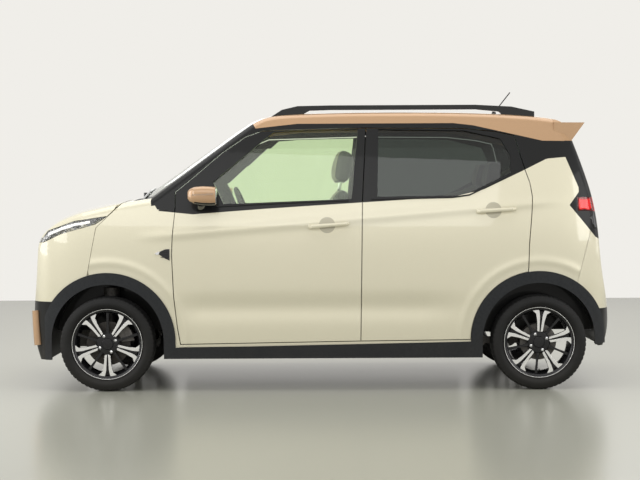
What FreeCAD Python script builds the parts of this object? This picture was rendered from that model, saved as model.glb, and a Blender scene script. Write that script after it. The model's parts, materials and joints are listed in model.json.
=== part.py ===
import FreeCAD, Part
import math
import os

# Tall five-door electric kei hatchback, in millimetres.
# X runs from nose (minus) to tail (plus), Y to the car's right hand side, Z up from the ground.

# driving sizes
overall_length = 3395.0
overall_height = 1655.0
overall_width = 1475.0
wheelbase = 2495.0
front_overhang = 465.0
front_track = 1290.0
rear_track = 1280.0
tyre_width = 165.0
tyre_aspect_share = 0.55
tyre_loaded_share = 0.971
rim_diameter = 381.0

# places worked out from them
nose_x = -overall_length / 2
tail_x = overall_length / 2
front_axle_x = nose_x + front_overhang
rear_axle_x = front_axle_x + wheelbase
tyre_radius = (rim_diameter / 2 + tyre_width * tyre_aspect_share) * tyre_loaded_share
axle_z = tyre_radius
cladding_proud = 7.5
side_half = overall_width / 2 - cladding_proud

# body surfaces
curve_degree = 3
crown_degree = 2
crown_reach = 600.0
crown_span = 800.0
plan_front_x = -900.0
plan_rear_x = 1000.0
plan_front_run = 800.0
plan_rear_run = 700.0
plan_front_taper = 70.0
plan_front_corner = 110.0
plan_rear_taper = 60.0
plan_rear_corner = 90.0
taper_power_share = 3
corner_power_share = 14
side_grid_x_shares = (-1.06, -1.0, -0.96, -0.90, -0.80, -0.62, -0.35, 0,
                      0.35, 0.62, 0.80, 0.90, 0.96, 1.0, 1.06)
side_grid_z_shares = (0.06, 0.16, 0.28, 0.40, 0.50, 0.58, 0.66, 0.76, 0.88, 1.027)
# height share, then how far the side leans in there as a share of the half width
side_lean_shares = ((0.06, 0.030), (0.12, 0.020), (0.18, 0.010), (0.27, 0.006), (0.36, 0.002),
                    (0.45, 0), (0.53, 0.004), (0.574, 0.014), (0.622, 0.033), (0.665, 0.055),
                    (0.725, 0.085), (0.785, 0.118), (0.846, 0.153), (0.906, 0.192),
                    (0.967, 0.230), (1.027, 0.271))

# profiles: x share of half length, z share of height, then how far the edges fall back and down
nose_profile_shares = (
    (-0.966, 0.060, 0.018, 0), (-0.981, 0.115, 0.015, 0), (-1.000, 0.181, 0.007, 0),
    (-1.0003, 0.272, 0.008, 0), (-0.9995, 0.363, 0.021, 0), (-0.9978, 0.459, 0.025, 0),
    (-0.996, 0.526, 0.026, -0.006), (-0.975, 0.571, 0.029, -0.012),
    (-0.919, 0.610, 0.024, -0.013), (-0.848, 0.636, 0.018, -0.012),
    (-0.766, 0.653, 0.012, -0.011), (-0.677, 0.670, 0.006, -0.010),
    (-0.577, 0.683, 0, -0.008), (-0.412, 0.701, 0, -0.006), (-0.118, 0.713, 0, -0.005))
cabin_profile_shares = (
    (-0.778, 0.060, 0, 0), (-0.766, 0.580, 0.059, 0), (-0.695, 0.637, 0.059, 0),
    (-0.635, 0.678, 0.058, 0), (-0.442, 0.817, 0.056, 0), (-0.295, 0.923, 0.047, -0.005),
    (-0.224, 0.968, 0.035, -0.010), (-0.118, 0.980, 0.018, -0.015),
    (0.059, 0.986, 0.006, -0.016), (0.295, 0.987, 0, -0.016), (0.530, 0.984, 0, -0.016),
    (0.707, 0.973, 0, -0.015), (0.819, 0.961, -0.006, -0.015), (0.857, 0.943, -0.012, -0.012),
    (0.884, 0.888, -0.021, -0.006), (0.919, 0.804, -0.027, 0), (0.950, 0.713, -0.027, 0),
    (0.966, 0.640, -0.024, 0), (0.978, 0.544, -0.022, 0), (0.985, 0.423, -0.021, 0),
    (0.996, 0.314, -0.011, 0), (1.001, 0.254, -0.007, 0), (1.000, 0.199, -0.007, 0),
    (0.978, 0.139, -0.012, 0), (0.943, 0.060, -0.018, 0))
hood_edge_radius = 55.0
roof_edge_radius = 42.0
long_edge_share = 0.25
heal_size = 0.01

# gaps
shut_gap = 5.5
half_gap = shut_gap / 2
seat_gap = 0.3
panel_thickness = 14.0
wall_depth = 75.0
frame_depth = 42.0
door_flange = 20.0
door_overlap = 38.0
glass_depth = 10.0
glass_thickness = 5.0
tail_skin = 22.0
gate_thickness = 50.0
reach = 1000.0
tall_z = 1900.0

# outlines seen from the side: x share of the wheelbase behind the front axle, z share of the height
front_door_shares = (
    (0.170, 0.164), (0.163, 0.225), (0.155, 0.333), (0.151, 0.477), (0.153, 0.548),
    (0.159, 0.640), (0.159, 0.695), (0.182, 0.723), (0.215, 0.765), (0.266, 0.831),
    (0.320, 0.887), (0.359, 0.909), (0.602, 0.918), (0.592, 0.657), (0.587, 0.173))
rear_door_shares = (
    (0.587, 0.173), (0.592, 0.657), (0.602, 0.918), (0.830, 0.915), (0.905, 0.903),
    (0.948, 0.889), (0.971, 0.766), (0.981, 0.722), (0.986, 0.672), (0.984, 0.622),
    (0.977, 0.512), (0.975, 0.430), (0.960, 0.178))
front_window_shares = (
    (0.271, 0.652), (0.246, 0.729), (0.385, 0.903), (0.442, 0.909), (0.583, 0.913),
    (0.567, 0.668))
rear_window_shares = (
    (0.627, 0.675), (0.631, 0.913), (0.831, 0.907), (0.916, 0.878), (0.937, 0.821),
    (0.937, 0.758), (0.840, 0.687), (0.806, 0.678))
belt_shares = ((0.05, 0.640), (0.20, 0.617), (0.366, 0.635), (0.595, 0.656), (0.806, 0.675),
               (0.873, 0.699), (0.968, 0.766), (1.022, 0.806), (1.066, 0.812), (1.25, 0.812))
fender_shares = (
    (-0.044, 0.421), (-0.025, 0.572), (0.002, 0.611), (0.031, 0.652), (0.060, 0.70),
    (0.098, 0.690), (0.118, 0.636), (0.159, 0.626), (0.153, 0.548), (0.151, 0.477),
    (0.155, 0.333), (0.163, 0.225), (0.170, 0.158), (0.0, 0.158))
hood_side_shares = (
    (-0.205, 0.530), (-0.150, 0.537), (-0.139, 0.560), (-0.075, 0.594), (0.002, 0.611),
    (0.031, 0.652), (0.060, 0.76), (-0.205, 0.76))
bumper_shares = (
    (-0.195, 0.106), (-0.135, 0.106), (-0.100, 0.130), (-0.060, 0.300), (-0.044, 0.421),
    (-0.025, 0.572), (0.002, 0.611), (-0.075, 0.594), (-0.139, 0.560), (-0.150, 0.537),
    (-0.205, 0.530))
headlamp_shares = (
    (-0.205, 0.520), (-0.205, 0.530), (-0.150, 0.537), (-0.139, 0.560), (-0.075, 0.594),
    (0.002, 0.611), (-0.025, 0.583), (-0.106, 0.550), (-0.150, 0.520))
roof_shares = (
    (0.344, 0.918), (0.442, 0.934), (0.680, 0.934), (0.806, 0.934), (0.852, 0.926),
    (0.948, 0.893), (1.014, 0.870), (1.066, 0.869), (1.040, 0.936), (1.040, 1.03), (0.300, 1.03))
tail_bumper_shares = (
    (1.124, 0.533), (1.091, 0.381), (1.105, 0.290), (1.118, 0.172), (1.140, 0.150), (1.25, 0.150),
    (1.25, 0.533))
tailgate_shares = ((1.051, 0.885), (1.046, 0.936), (1.046, 0.995), (1.25, 0.995), (1.25, 0.400),
                   (1.140, 0.400), (1.100, 0.560), (1.085, 0.700), (1.062, 0.800))
tail_lamp_shares = ((1.091, 0.671), (1.25, 0.671), (1.25, 0.560), (1.128, 0.560), (1.118, 0.600),
                    (1.128, 0.623), (1.091, 0.623))
sill_shares = ((0.150, 0.150), (0.170, 0.154), (0.331, 0.156), (0.820, 0.169), (0.850, 0.170),
               (0.870, 0.1135), (0.145, 0.1135))

arch_radius = 328.0
arch_lift = 17.0
arch_band = 68.0
band_front = 95.0
well_clearance = 12.0
well_wall = 10.0
front_well_inner = 395.0
rear_well_inner = 505.0
housing_bottom_z = 330.0
cabin_shares = (
    (0.173, 0.200), (0.173, 0.435), (0.095, 0.610), (0.105, 0.665), (0.345, 0.930), (0.400, 0.952),
    (0.995, 0.952), (1.040, 0.930), (1.110, 0.715), (1.135, 0.545), (1.140, 0.345), (0.965, 0.345),
    (0.915, 0.200))
bay_shares = ((-0.140, 0.060), (-0.140, 0.520), (0.05, 0.75), (0.085, 0.60), (0.148, 0.45),
              (0.148, 0.060))
under_shares = ((0.148, 0.060), (0.148, 0.192), (0.919, 0.192), (0.969, 0.337), (1.14, 0.337),
                (1.14, 0.060))
front_zone_shares = ((-0.25, 0.05), (0.142, 0.05), (0.142, 0.631), (0.053, 0.631), (0.053, 0.80),
                     (-0.25, 0.80))
underside_shares = ((-0.25, 0), (-0.25, 0.106), (0.145, 0.1135), (0.870, 0.1135), (1.00, 0.130),
                    (1.15, 0.158), (1.30, 0.158), (1.30, 0))
under_half = 630.0
floor_shares = ((0.176, 0.192), (0.919, 0.192), (0.969, 0.337), (1.130, 0.337), (1.130, 0.345),
                (0.965, 0.345), (0.915, 0.200), (0.176, 0.200))
floor_bottom_z = floor_shares[0][1] * overall_height
floor_top_z = floor_shares[-1][1] * overall_height
load_floor_z = floor_shares[2][1] * overall_height
windshield_shares = ((-0.05, 0.678), (0.200, 0.678), (0.344, 0.918), (0.300, 1.03), (-0.05, 1.03))
glass_flange = 22.0


def along(share):
    return front_axle_x + share * wheelbase


def up(share):
    return share * overall_height


def table_value(table_shares, share):
    for (low, low_value), (high, high_value) in zip(table_shares, table_shares[1:]):
        if share <= high:
            return low_value + (high_value - low_value) * max(share - low, 0) / (high - low)
    return table_shares[-1][1]


def side_width(x, z, inset):
    """Half width of the body at one place of its side."""
    width = side_half * (1 - table_value(side_lean_shares, z / overall_height))
    if x < plan_front_x:
        run = (plan_front_x - x) / plan_front_run
        width -= plan_front_taper * run ** taper_power_share
        width -= plan_front_corner * run ** corner_power_share
    if x > plan_rear_x:
        run = (x - plan_rear_x) / plan_rear_run
        width -= plan_rear_taper * run ** taper_power_share
        width -= plan_rear_corner * run ** corner_power_share
    return width - inset


def spline_knots(count, degree):
    inner = count - degree - 1
    knots = list(range(inner + 2))
    mults = [degree + 1] + [1] * inner + [degree + 1]
    return knots, mults


def spline_face(rows, row_degree, column_degree):
    surface = Part.BSplineSurface()
    u_knots, u_mults = spline_knots(len(rows), row_degree)
    v_knots, v_mults = spline_knots(len(rows[0]), column_degree)
    surface.buildFromPolesMultsKnots(rows, u_mults, v_mults, u_knots, v_knots,
                                     False, False, row_degree, column_degree)
    return surface.toShape()


def side_slab(inset):
    """Solid between the left and right side surfaces."""
    xs = [share * tail_x for share in side_grid_x_shares]
    zs = [up(share) for share in side_grid_z_shares]
    rows = [[FreeCAD.Vector(x, -side_width(x, z, inset), z) for z in zs] for x in xs]
    left = spline_face(rows, curve_degree, curve_degree)
    right = spline_face([[FreeCAD.Vector(p.x, -p.y, p.z) for p in row] for row in rows],
                        curve_degree, curve_degree)
    faces = [left, right]
    for left_edge, right_edge in zip(left.Edges, right.Edges):
        bridges = [Part.makeLine(a.Point, b.Point)
                   for a, b in zip(left_edge.Vertexes, right_edge.Vertexes)]
        rim = Part.__sortEdges__([left_edge, right_edge] + bridges)
        faces.append(Part.Face(Part.Wire(rim)))
    shell = Part.Compound(faces)
    shell.sewShape()
    slab = Part.makeSolid(shell.Shells[0])
    slab.fix(heal_size, heal_size, heal_size)
    return slab


def inset_profile(profile_shares, inset):
    """Profile points in millimetres, moved inwards square to the profile."""
    points = [(sx * tail_x, up(sz), back * tail_x, down * overall_height)
              for sx, sz, back, down in profile_shares]
    moved = []
    for index, (x, z, back, down) in enumerate(points):
        before = points[max(index - 1, 0)]
        after = points[min(index + 1, len(points) - 1)]
        run_x = after[0] - before[0]
        run_z = after[1] - before[1]
        length = math.hypot(run_x, run_z)
        moved.append((x + inset * run_z / length, z - inset * run_x / length, back, down))
    moved[0] = moved[0][:1] + (points[0][1],) + moved[0][2:]
    moved[-1] = moved[-1][:1] + (points[-1][1],) + moved[-1][2:]
    return moved


def crowned_solid(profile, corner):
    """Solid under a profile whose edges fall away parabolically towards both sides."""
    fall_shares = (1, -1, 1)
    growth = (crown_span / crown_reach) ** 2
    rows = []
    for x, z, back, down in profile:
        row = [FreeCAD.Vector(x + back * growth * fall, y, z + down * growth * fall)
               for fall, y in zip(fall_shares, (-crown_span, 0, crown_span))]
        rows.append(row)
    skin = spline_face(rows, curve_degree, crown_degree)
    flat_edges = [edge for edge in skin.Edges if edge.BoundBox.YLength < seat_gap]
    cross_edges = [edge for edge in skin.Edges if edge.BoundBox.YLength > seat_gap]
    faces = [skin]
    for edge in flat_edges:
        y = edge.BoundBox.YMin
        start = edge.Vertexes[0].Point
        end = edge.Vertexes[-1].Point
        if corner:
            turn = FreeCAD.Vector(corner[0], y, corner[1])
            lines = [Part.makeLine(end, turn), Part.makeLine(turn, start)]
        else:
            lines = [Part.makeLine(end, start)]
        faces.append(Part.Face(Part.Wire([edge] + lines)))
    if corner:
        for edge in cross_edges:
            first, last = sorted((v.Point for v in edge.Vertexes), key=lambda point: point.y)
            near = FreeCAD.Vector(corner[0], first.y, corner[1])
            far = FreeCAD.Vector(corner[0], last.y, corner[1])
            lines = [edge, Part.makeLine(first, near), Part.makeLine(near, far),
                     Part.makeLine(far, last)]
            faces.append(Part.Face(Part.Wire(Part.__sortEdges__(lines))))
    else:
        ends = [sorted((v.Point for v in edge.Vertexes), key=lambda point: point.y)
                for edge in cross_edges]
        lines = cross_edges + [Part.makeLine(ends[0][0], ends[1][0]),
                               Part.makeLine(ends[0][1], ends[1][1])]
        faces.append(Part.Face(Part.Wire(Part.__sortEdges__(lines))))
    shell = Part.Compound(faces)
    shell.sewShape()
    return Part.makeSolid(shell.Shells[0])


def rounded_edges(shape, radius):
    """Round the two long edges where a profile meets the sides."""
    long_edges = [edge for edge in shape.Edges
                  if edge.BoundBox.XLength > overall_length * long_edge_share
                  and edge.BoundBox.ZLength > overall_height * long_edge_share]
    return shape.makeFillet(radius, long_edges)


def front_body(inset):
    """Nose and hood of the body as one solid, or the same set in by a depth."""
    slab = side_slab(inset)
    nose = inset_profile(nose_profile_shares, inset)
    front = slab.common(crowned_solid(nose, (nose[-1][0], nose[0][1])))
    return front if inset else rounded_edges(front, hood_edge_radius)


def cabin_body(inset):
    """Windshield, roof and tail of the body as one solid, or the same set in by a depth."""
    slab = side_slab(inset)
    cabin = slab.common(crowned_solid(inset_profile(cabin_profile_shares, inset), None))
    return cabin if inset else rounded_edges(cabin, roof_edge_radius)


def side_face(outline_shares, grow=0):
    """Flat face in the middle plane, its outline grown or shrunk by a distance."""
    points = [FreeCAD.Vector(along(sx), 0, up(sz)) for sx, sz in outline_shares]
    wire = Part.makePolygon(points + points[:1])
    if grow:
        wire = wire.makeOffset2D(grow, 2)
    return Part.Face(wire)


def across(outline_shares, grow=0):
    """Outline pushed right across the car."""
    face = side_face(outline_shares, grow)
    face.translate(FreeCAD.Vector(0, -reach, 0))
    return face.extrude(FreeCAD.Vector(0, 2 * reach, 0))


def left_half(outline_shares, grow=0):
    """Outline pushed from the middle plane out past the left side."""
    return side_face(outline_shares, grow).extrude(FreeCAD.Vector(0, -reach, 0))


def block(x0, x1, y0, y1, z0, z1):
    return Part.makeBox(x1 - x0, y1 - y0, z1 - z0, FreeCAD.Vector(x0, y0, z0))


def mirrored(shape):
    return shape.mirror(FreeCAD.Vector(0, 0, 0), FreeCAD.Vector(0, 1, 0))


def both_sides(shape):
    return Part.makeCompound([shape, mirrored(shape)])


def tube(radius, x, z, y0, y1):
    return Part.makeCylinder(radius, y1 - y0, FreeCAD.Vector(x, y0, z), FreeCAD.Vector(0, 1, 0))


# solids that the panels are cut from
front_outer = front_body(0)
front_skin = front_body(panel_thickness)
cabin_outer = cabin_body(0)
cabin_glass = cabin_body(glass_thickness)
cabin_pane = cabin_body(glass_depth)
cabin_skin = cabin_body(tail_skin)
cabin_gate = cabin_body(gate_thickness)


def front_view(half_shares, grow, x0, x1):
    """Outline given as half width and height shares, pushed along the car."""
    points = [(half * side_half, up(sz)) for half, sz in half_shares]
    ring = [FreeCAD.Vector(x0, y, z) for y, z in points]
    ring += [FreeCAD.Vector(x0, -y, z) for y, z in reversed(points)]
    wire = Part.makePolygon(ring + ring[:1])
    if grow:
        wire = wire.makeOffset2D(grow, 2)
    return Part.Face(wire).extrude(FreeCAD.Vector(x1 - x0, 0, 0))


def set_in(depth):
    """Flat sided solid that follows the leaning sides at one depth."""
    half_shares = [(1 - lean - depth / side_half, share) for share, lean in side_lean_shares]
    return front_view(half_shares, 0, nose_x, tail_x)


def arch_opening(axle_x, grow=0):
    """Round opening over a wheel, right across the car, straight sided below its middle."""
    middle_z = axle_z + arch_lift
    radius = arch_radius + grow
    top = tube(radius, axle_x, middle_z, -reach, reach)
    legs = block(axle_x - radius, axle_x + radius, -reach, reach, 0, middle_z)
    return top.fuse(legs)


def wheel_well(axle_x, inner_half):
    """Space for both wheels of one axle, behind the outer skin."""
    opening = arch_opening(axle_x, well_clearance)
    middle = block(axle_x - reach, axle_x + reach, -inner_half, inner_half, 0, tall_z)
    return opening.cut(middle)


def well_housing(axle_x, inner_half):
    """Wheel wells with their walls."""
    opening = arch_opening(axle_x, well_clearance + well_wall)
    middle = block(axle_x - reach, axle_x + reach, well_wall - inner_half,
                   inner_half - well_wall, 0, tall_z)
    below = block(axle_x - reach, axle_x + reach, -reach, reach, 0, housing_bottom_z)
    return opening.cut([middle, below])


front_wells = wheel_well(front_axle_x, front_well_inner)
rear_wells = wheel_well(rear_axle_x, rear_well_inner)
front_housing = well_housing(front_axle_x, front_well_inner)
rear_housing = well_housing(rear_axle_x, rear_well_inner)
arches = arch_opening(front_axle_x).fuse(arch_opening(rear_axle_x))
underside = across(underside_shares)
above_belt = across(belt_shares + ((1.25, 1.1), (0.05, 1.1)))


flange_core = set_in(door_flange)
frame_core = set_in(frame_depth)
wall_core = set_in(wall_depth)
pane_core = set_in(glass_depth + glass_thickness)
cabin_core_width = wall_core.fuse(above_belt.common(frame_core))
cabin_space = across(cabin_shares).common(cabin_core_width)


def door(outline_shares, window_shares):
    """Left door: thin overlapping skin, thick inner body below the belt, slim window frame."""
    outer = cabin_outer.common(left_half(outline_shares, -half_gap))
    outer = outer.cut(arch_opening(rear_axle_x, arch_band + half_gap))
    flange = outer.cut(flange_core)
    inner = outer.common(left_half(outline_shares, -door_overlap))
    inner = inner.cut([arch_opening(rear_axle_x, arch_band + door_overlap), cabin_core_width])
    return flange.fuse(inner).cut(left_half(window_shares))


def door_glass(window_shares):
    return cabin_pane.common(left_half(window_shares)).cut(pane_core)


def door_opening(outline_shares):
    """Stepped opening that a left door closes."""
    rim = left_half(outline_shares, half_gap)
    rim = rim.cut([frame_core, arch_opening(rear_axle_x, arch_band - half_gap)])
    hole = left_half(outline_shares, half_gap + shut_gap - door_overlap)
    hole = hole.cut(arch_opening(rear_axle_x, arch_band + door_overlap - shut_gap))
    return rim.fuse(hole)


front_door_left = door(front_door_shares, front_window_shares)
rear_door_left = door(rear_door_shares, rear_window_shares)
front_glass_left = door_glass(front_window_shares)
rear_glass_left = door_glass(rear_window_shares)
door_openings = both_sides(door_opening(front_door_shares).fuse(door_opening(rear_door_shares)))

# windshield
windshield_half_shares = ((0.835, 0.676), (0.700, 0.985))
windshield_zone = across(windshield_shares).common(front_view(windshield_half_shares, 0, nose_x, 0))
windshield = cabin_outer.common(windshield_zone).cut(cabin_glass)
windshield_inner_shares = ((-0.05, 0.66), (0.26, 0.66), (0.372, 0.905), (0.30, 1.03), (-0.05, 1.03))
windshield_hole = across(windshield_inner_shares).common(
    front_view(windshield_half_shares, -glass_flange, nose_x, 0))

# roof
roof_zone = across(roof_shares)
roof_end_share = 1.040
roof_panel = cabin_outer.common(roof_zone).cut(cabin_space)

# tailgate, spoiler and rear window
tailgate_overlap = 30.0
tailgate_half_shares = ((0.800, 0.400), (0.790, 0.640), (0.713, 0.995))
rear_window_half_shares = ((0.660, 0.700), (0.600, 0.862))
gate_middle_x = 1300.0


def tailgate_zone(grow):
    view = front_view(tailgate_half_shares, grow, gate_middle_x, tail_x + shut_gap)
    return across(tailgate_shares, grow).common(view)


rear_window_zone = front_view(rear_window_half_shares, 0, gate_middle_x, tail_x)
gate_outer = cabin_outer.common(tailgate_zone(-half_gap))
gate_inner = gate_outer.common(tailgate_zone(-tailgate_overlap)).cut(cabin_gate)
tailgate = gate_outer.cut(cabin_skin).fuse(gate_inner).cut(rear_window_zone)
tailgate_glass = cabin_glass.common(rear_window_zone).cut(cabin_pane)
gate_rim = tailgate_zone(half_gap).cut(cabin_body(tail_skin + 2 * shut_gap))
gate_hole = tailgate_zone(half_gap + shut_gap - tailgate_overlap)
gate_opening = gate_rim.fuse(gate_hole)
roof_panel = roof_panel.cut(gate_opening)

spoiler_shares = ((1.036, 0.935), (1.114, 0.934), (1.083, 0.870), (1.070, 0.867), (1.060, 0.880),
                  (1.036, 0.915))
spoiler_half = 578.0
spoiler_bow = 26.0
spoiler_rise = 20.0


def spoiler_section(y, back, rise):
    points = [FreeCAD.Vector(along(sx) + back, y, up(sz) + rise) for sx, sz in spoiler_shares]
    return Part.makePolygon(points + points[:1])


sections = [spoiler_section(-spoiler_half, 0, 0), spoiler_section(0, spoiler_bow, spoiler_rise),
            spoiler_section(spoiler_half, 0, 0)]
spoiler = Part.makeLoft(sections, True, False).cut(cabin_outer)
spoiler = spoiler.common(block(along(roof_end_share) + shut_gap, tail_x, -reach, reach, 0, tall_z))

# lamps and bumpers
lamp_inner_half = 587.0
tail_lamp_zone = across(tail_lamp_shares).cut(
    block(gate_middle_x, tail_x + reach, -lamp_inner_half, lamp_inner_half, 0, tall_z))
tail_lamps = cabin_outer.common(tail_lamp_zone).cut(cabin_gate)
rear_bumper_zone = across(tail_bumper_shares).cut([arches, tailgate_zone(half_gap)])
rear_bumper = cabin_outer.common(rear_bumper_zone).cut(cabin_skin)
headlamp_inner_half = 330.0
headlamp_depth = 60.0
headlamp_back = front_body(headlamp_depth)
headlamp_zone = across(headlamp_shares).cut(
    block(nose_x - reach, 0, -headlamp_inner_half, headlamp_inner_half, 0, tall_z))
headlamps = front_outer.common(headlamp_zone).cut(headlamp_back)
bumper_zone = across(bumper_shares)
front_bumper = front_outer.common(bumper_zone).cut([front_skin, headlamp_zone, arches,
                                                    underside])

# hood, fenders and cowl
hood_rear_x = -1092.0
hood_plan_shares = ((-1.10, 1.10), (-0.734, 1.10), (-0.690, 0.905), (-0.643, 0.868))


def hood_plan(grow):
    points = [(sx * tail_x, sy * side_half) for sx, sy in hood_plan_shares]
    ring = [FreeCAD.Vector(x, y, 0) for x, y in points]
    ring += [FreeCAD.Vector(x, -y, 0) for x, y in reversed(points)]
    wire = Part.makePolygon(ring + ring[:1])
    if grow:
        wire = wire.makeOffset2D(grow, 2)
    return Part.Face(wire).extrude(FreeCAD.Vector(0, 0, tall_z))


hood_zone = across(hood_side_shares, -half_gap).common(hood_plan(-half_gap))
hood = front_outer.common(hood_zone).cut(front_skin)
hood_space = across(hood_side_shares, half_gap).common(hood_plan(half_gap))
hood_rim = hood_space.cut(front_body(panel_thickness + 2 * shut_gap))
cowl_half = 624.0
cowl_rear_x = -940.0
cowl_bottom_share = 0.63
cowl_top_share = 0.72
cowl_zone = block(hood_rear_x + shut_gap, cowl_rear_x, -cowl_half, cowl_half,
                  up(cowl_bottom_share), up(cowl_top_share))
cowl = front_outer.common(cowl_zone).cut(front_skin).cut(cabin_outer)
fender = front_outer.common(left_half(fender_shares, -half_gap))
fender = fender.cut([front_skin, arches, hood_space, windshield_zone, cowl_zone])
fenders = both_sides(fender)

# body shell
floor_pan = across(floor_shares).common(block(nose_x, tail_x, -under_half, under_half, 0, tall_z))
floor_pan = floor_pan.common(wall_core).cut([rear_housing, rear_wells])
under_space = across(under_shares).common(block(nose_x, tail_x, -under_half, under_half, 0, tall_z))
bay_panel_x = -1600.0
bay_half_low = 655.0
front_core = front_skin.common(across(front_zone_shares))
front_core = front_core.common(block(bay_panel_x, 0, -reach, reach, 0, tall_z))
bay_space = across(bay_shares).common(block(nose_x, 0, -bay_half_low, bay_half_low, 0, tall_z))
bay_space = bay_space.cut(front_housing)
bumper_space = bumper_zone.cut(front_skin)
front_core = front_core.cut([bay_space, front_wells, cabin_space, underside, hood_rim,
                             headlamp_zone, bumper_space, under_space, door_openings])

cabin_core = cabin_outer.cut(across(front_zone_shares))
cabin_core = cabin_core.cut([cabin_space.cut(rear_housing), under_space.cut(rear_housing),
                             rear_wells, underside, roof_zone, floor_pan])
cabin_core = cabin_core.cut(door_openings.Solids + fenders.Solids)
cabin_core = cabin_core.cut([windshield_hole, windshield_zone.cut(cabin_glass),
                             gate_opening, rear_bumper_zone.cut(cabin_skin),
                             tail_lamp_zone.cut(cabin_gate)])

# charge lid on the right rear quarter
lid_share = (1.058, 0.575)
lid_size = 150.0
lid_x = along(lid_share[0])
lid_z = up(lid_share[1])


def lid_block(grow):
    half = lid_size / 2 + grow
    return block(lid_x - half, lid_x + half, 0, reach, lid_z - half, lid_z + half)


charge_lid = cabin_outer.common(lid_block(-half_gap)).cut(cabin_skin)
cabin_core = cabin_core.cut(lid_block(half_gap).cut(cabin_gate))
body_shell = front_core.fuse(cabin_core)
body_shell = max(body_shell.Solids, key=lambda solid: solid.Volume)

# wheels, seen with the axle along Y and the outside towards minus Y
rim_profile = ((203, 70), (192, 63), (190, 50), (177, 40), (171, 10), (177, -40), (190, -50),
               (192, -63), (203, -70), (186, -67), (169, -40), (164, 10), (170, 36), (187, 68))
spoke_count = 5
lug_count = 4
lug_start = 45.0
full_turn = 360.0


def turned(profile):
    """Ring turned about the Y axis from radius and outward distance pairs."""
    points = [FreeCAD.Vector(radius, -out, 0) for radius, out in profile]
    face = Part.Face(Part.makePolygon(points + points[:1]))
    return face.revolve(FreeCAD.Vector(0, 0, 0), FreeCAD.Vector(0, 1, 0), full_turn)


def disc(radius, out0, out1):
    return Part.makeCylinder(radius, out1 - out0, FreeCAD.Vector(0, -out0, 0),
                             FreeCAD.Vector(0, -1, 0))


def plate(points, out0, out1):
    ring = [FreeCAD.Vector(x, -out0, z) for x, z in points]
    face = Part.Face(Part.makePolygon(ring + ring[:1]))
    return face.extrude(FreeCAD.Vector(0, out0 - out1, 0))


def around(shape, count, start=0):
    axis = FreeCAD.Vector(0, 1, 0)
    copies = []
    for index in range(count):
        copy = shape.copy()
        copy.rotate(FreeCAD.Vector(0, 0, 0), axis, start + index * full_turn / count)
        copies.append(copy)
    return copies


hub_radius = 62.0
hub_back = 20.0
hub_front = 50.0
cap_radius = 29.0
cap_front = 56.0
spoke_back = 36.0
spoke_front = 58.0
spoke_root = 16.0
spoke_tip = 40.0
spoke_reach = 180.0
slot_start = 70.0
slot_end = 166.0
slot_root = 4.0
slot_tip = 22.0
web_half = 5.0
bore_radius = 27.5
lug_circle = 50.0
lug_radius = 8.0


def rim():
    spoke = plate(((-spoke_root, 0), (spoke_root, 0), (spoke_tip, spoke_reach),
                   (-spoke_tip, spoke_reach)), spoke_back, spoke_front)
    slot = plate(((-slot_root, slot_start), (slot_root, slot_start), (slot_tip, slot_end),
                  (-slot_tip, slot_end)), 0, spoke_front + hub_back)
    web = plate(((-web_half, 0), (web_half, 0), (web_half, spoke_reach), (-web_half, spoke_reach)),
                spoke_back, spoke_back + web_half)
    spokes = around(spoke.cut(slot), spoke_count) + around(web, spoke_count, full_turn / 2 / spoke_count)
    lug = disc(lug_radius, hub_back, cap_front)
    lug.translate(FreeCAD.Vector(lug_circle, 0, 0))
    bore = disc(bore_radius, hub_back - web_half, hub_front - web_half)
    body = turned(rim_profile).fuse([disc(hub_radius, hub_back, hub_front)] + spokes)
    cap = disc(cap_radius, hub_front - web_half, cap_front)
    return body.cut([bore] + around(lug, lug_count, lug_start)).fuse(cap)


# half section of a tyre from the tread to the bead and back along the inner liner
tread_half = 52.0
shoulder_drops = ((0, tread_half), (3.5, 66.0), (11.0, 76.0))
wall_places = ((241.0, 82.0), (228.0, tyre_width / 2), (205.0, 62.5), (190.5, 50.0), (228.0, 68.0),
               (248.0, 58.0))


def tyre():
    """Tyre section of short straight runs, turned about the axle."""
    half = [(tyre_radius - drop, out) for drop, out in shoulder_drops] + list(wall_places)
    return turned(half + [(radius, -out) for radius, out in reversed(half)])


disc_radius = 126.0
disc_half = 5.5
hat_radius = 68.0
kingpin_half = 600.0
upright_radius = 42.0
upright_inner = -62.0
caliper_inner = 80.0
caliper_outer = 152.0
caliper_half = 27.0
caliper_slope = 8
strut_half = 525.0
strut_radius = 22.0
spring_radius = 46.0
strut_top_z = 590.0
arm_length = 105.0
ball_drop = 88.0
ball_radius = 16.0


def knuckle():
    """Left steering knuckle with brake disc, caliper and strut, axle centre at the origin."""
    inward = front_track / 2 - kingpin_half
    rotor = disc(disc_radius, -disc_half, disc_half)
    hat = disc(hat_radius, disc_half, hub_back - seat_gap)
    stub = disc(bore_radius - 2 * seat_gap, 0, hub_front - 2 * web_half)
    upright = disc(upright_radius, upright_inner, -disc_half)
    ring = disc(caliper_outer, -caliper_half, caliper_half)
    ring = ring.cut(disc(caliper_inner, -caliper_half, caliper_half))
    side = caliper_outer * 2
    wedge = plate(((0, 0), (side, side / caliper_slope), (side, side)), -caliper_half, caliper_half)
    caliper = ring.common(wedge)
    link = block(-ball_radius, ball_radius, inward - ball_radius, inward + ball_radius,
                 -ball_drop, 0)
    arm = block(0, arm_length, inward - ball_radius, inward, -ball_radius, ball_radius)
    strut_in = front_track / 2 - strut_half
    bracket = block(-ball_radius, ball_radius, inward, strut_in, ball_radius, 3 * ball_radius)
    rise = strut_top_z - axle_z
    post = Part.makeCylinder(strut_radius, rise - ball_radius,
                             FreeCAD.Vector(0, strut_in, ball_radius))
    spring_foot = FreeCAD.Vector(0, strut_in + strut_radius, rise * 2 / 3)
    spring = Part.makeCylinder(spring_radius, rise / 3, spring_foot)
    return rotor.fuse([hat, stub, upright, caliper, link, arm, bracket, post, spring])


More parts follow.
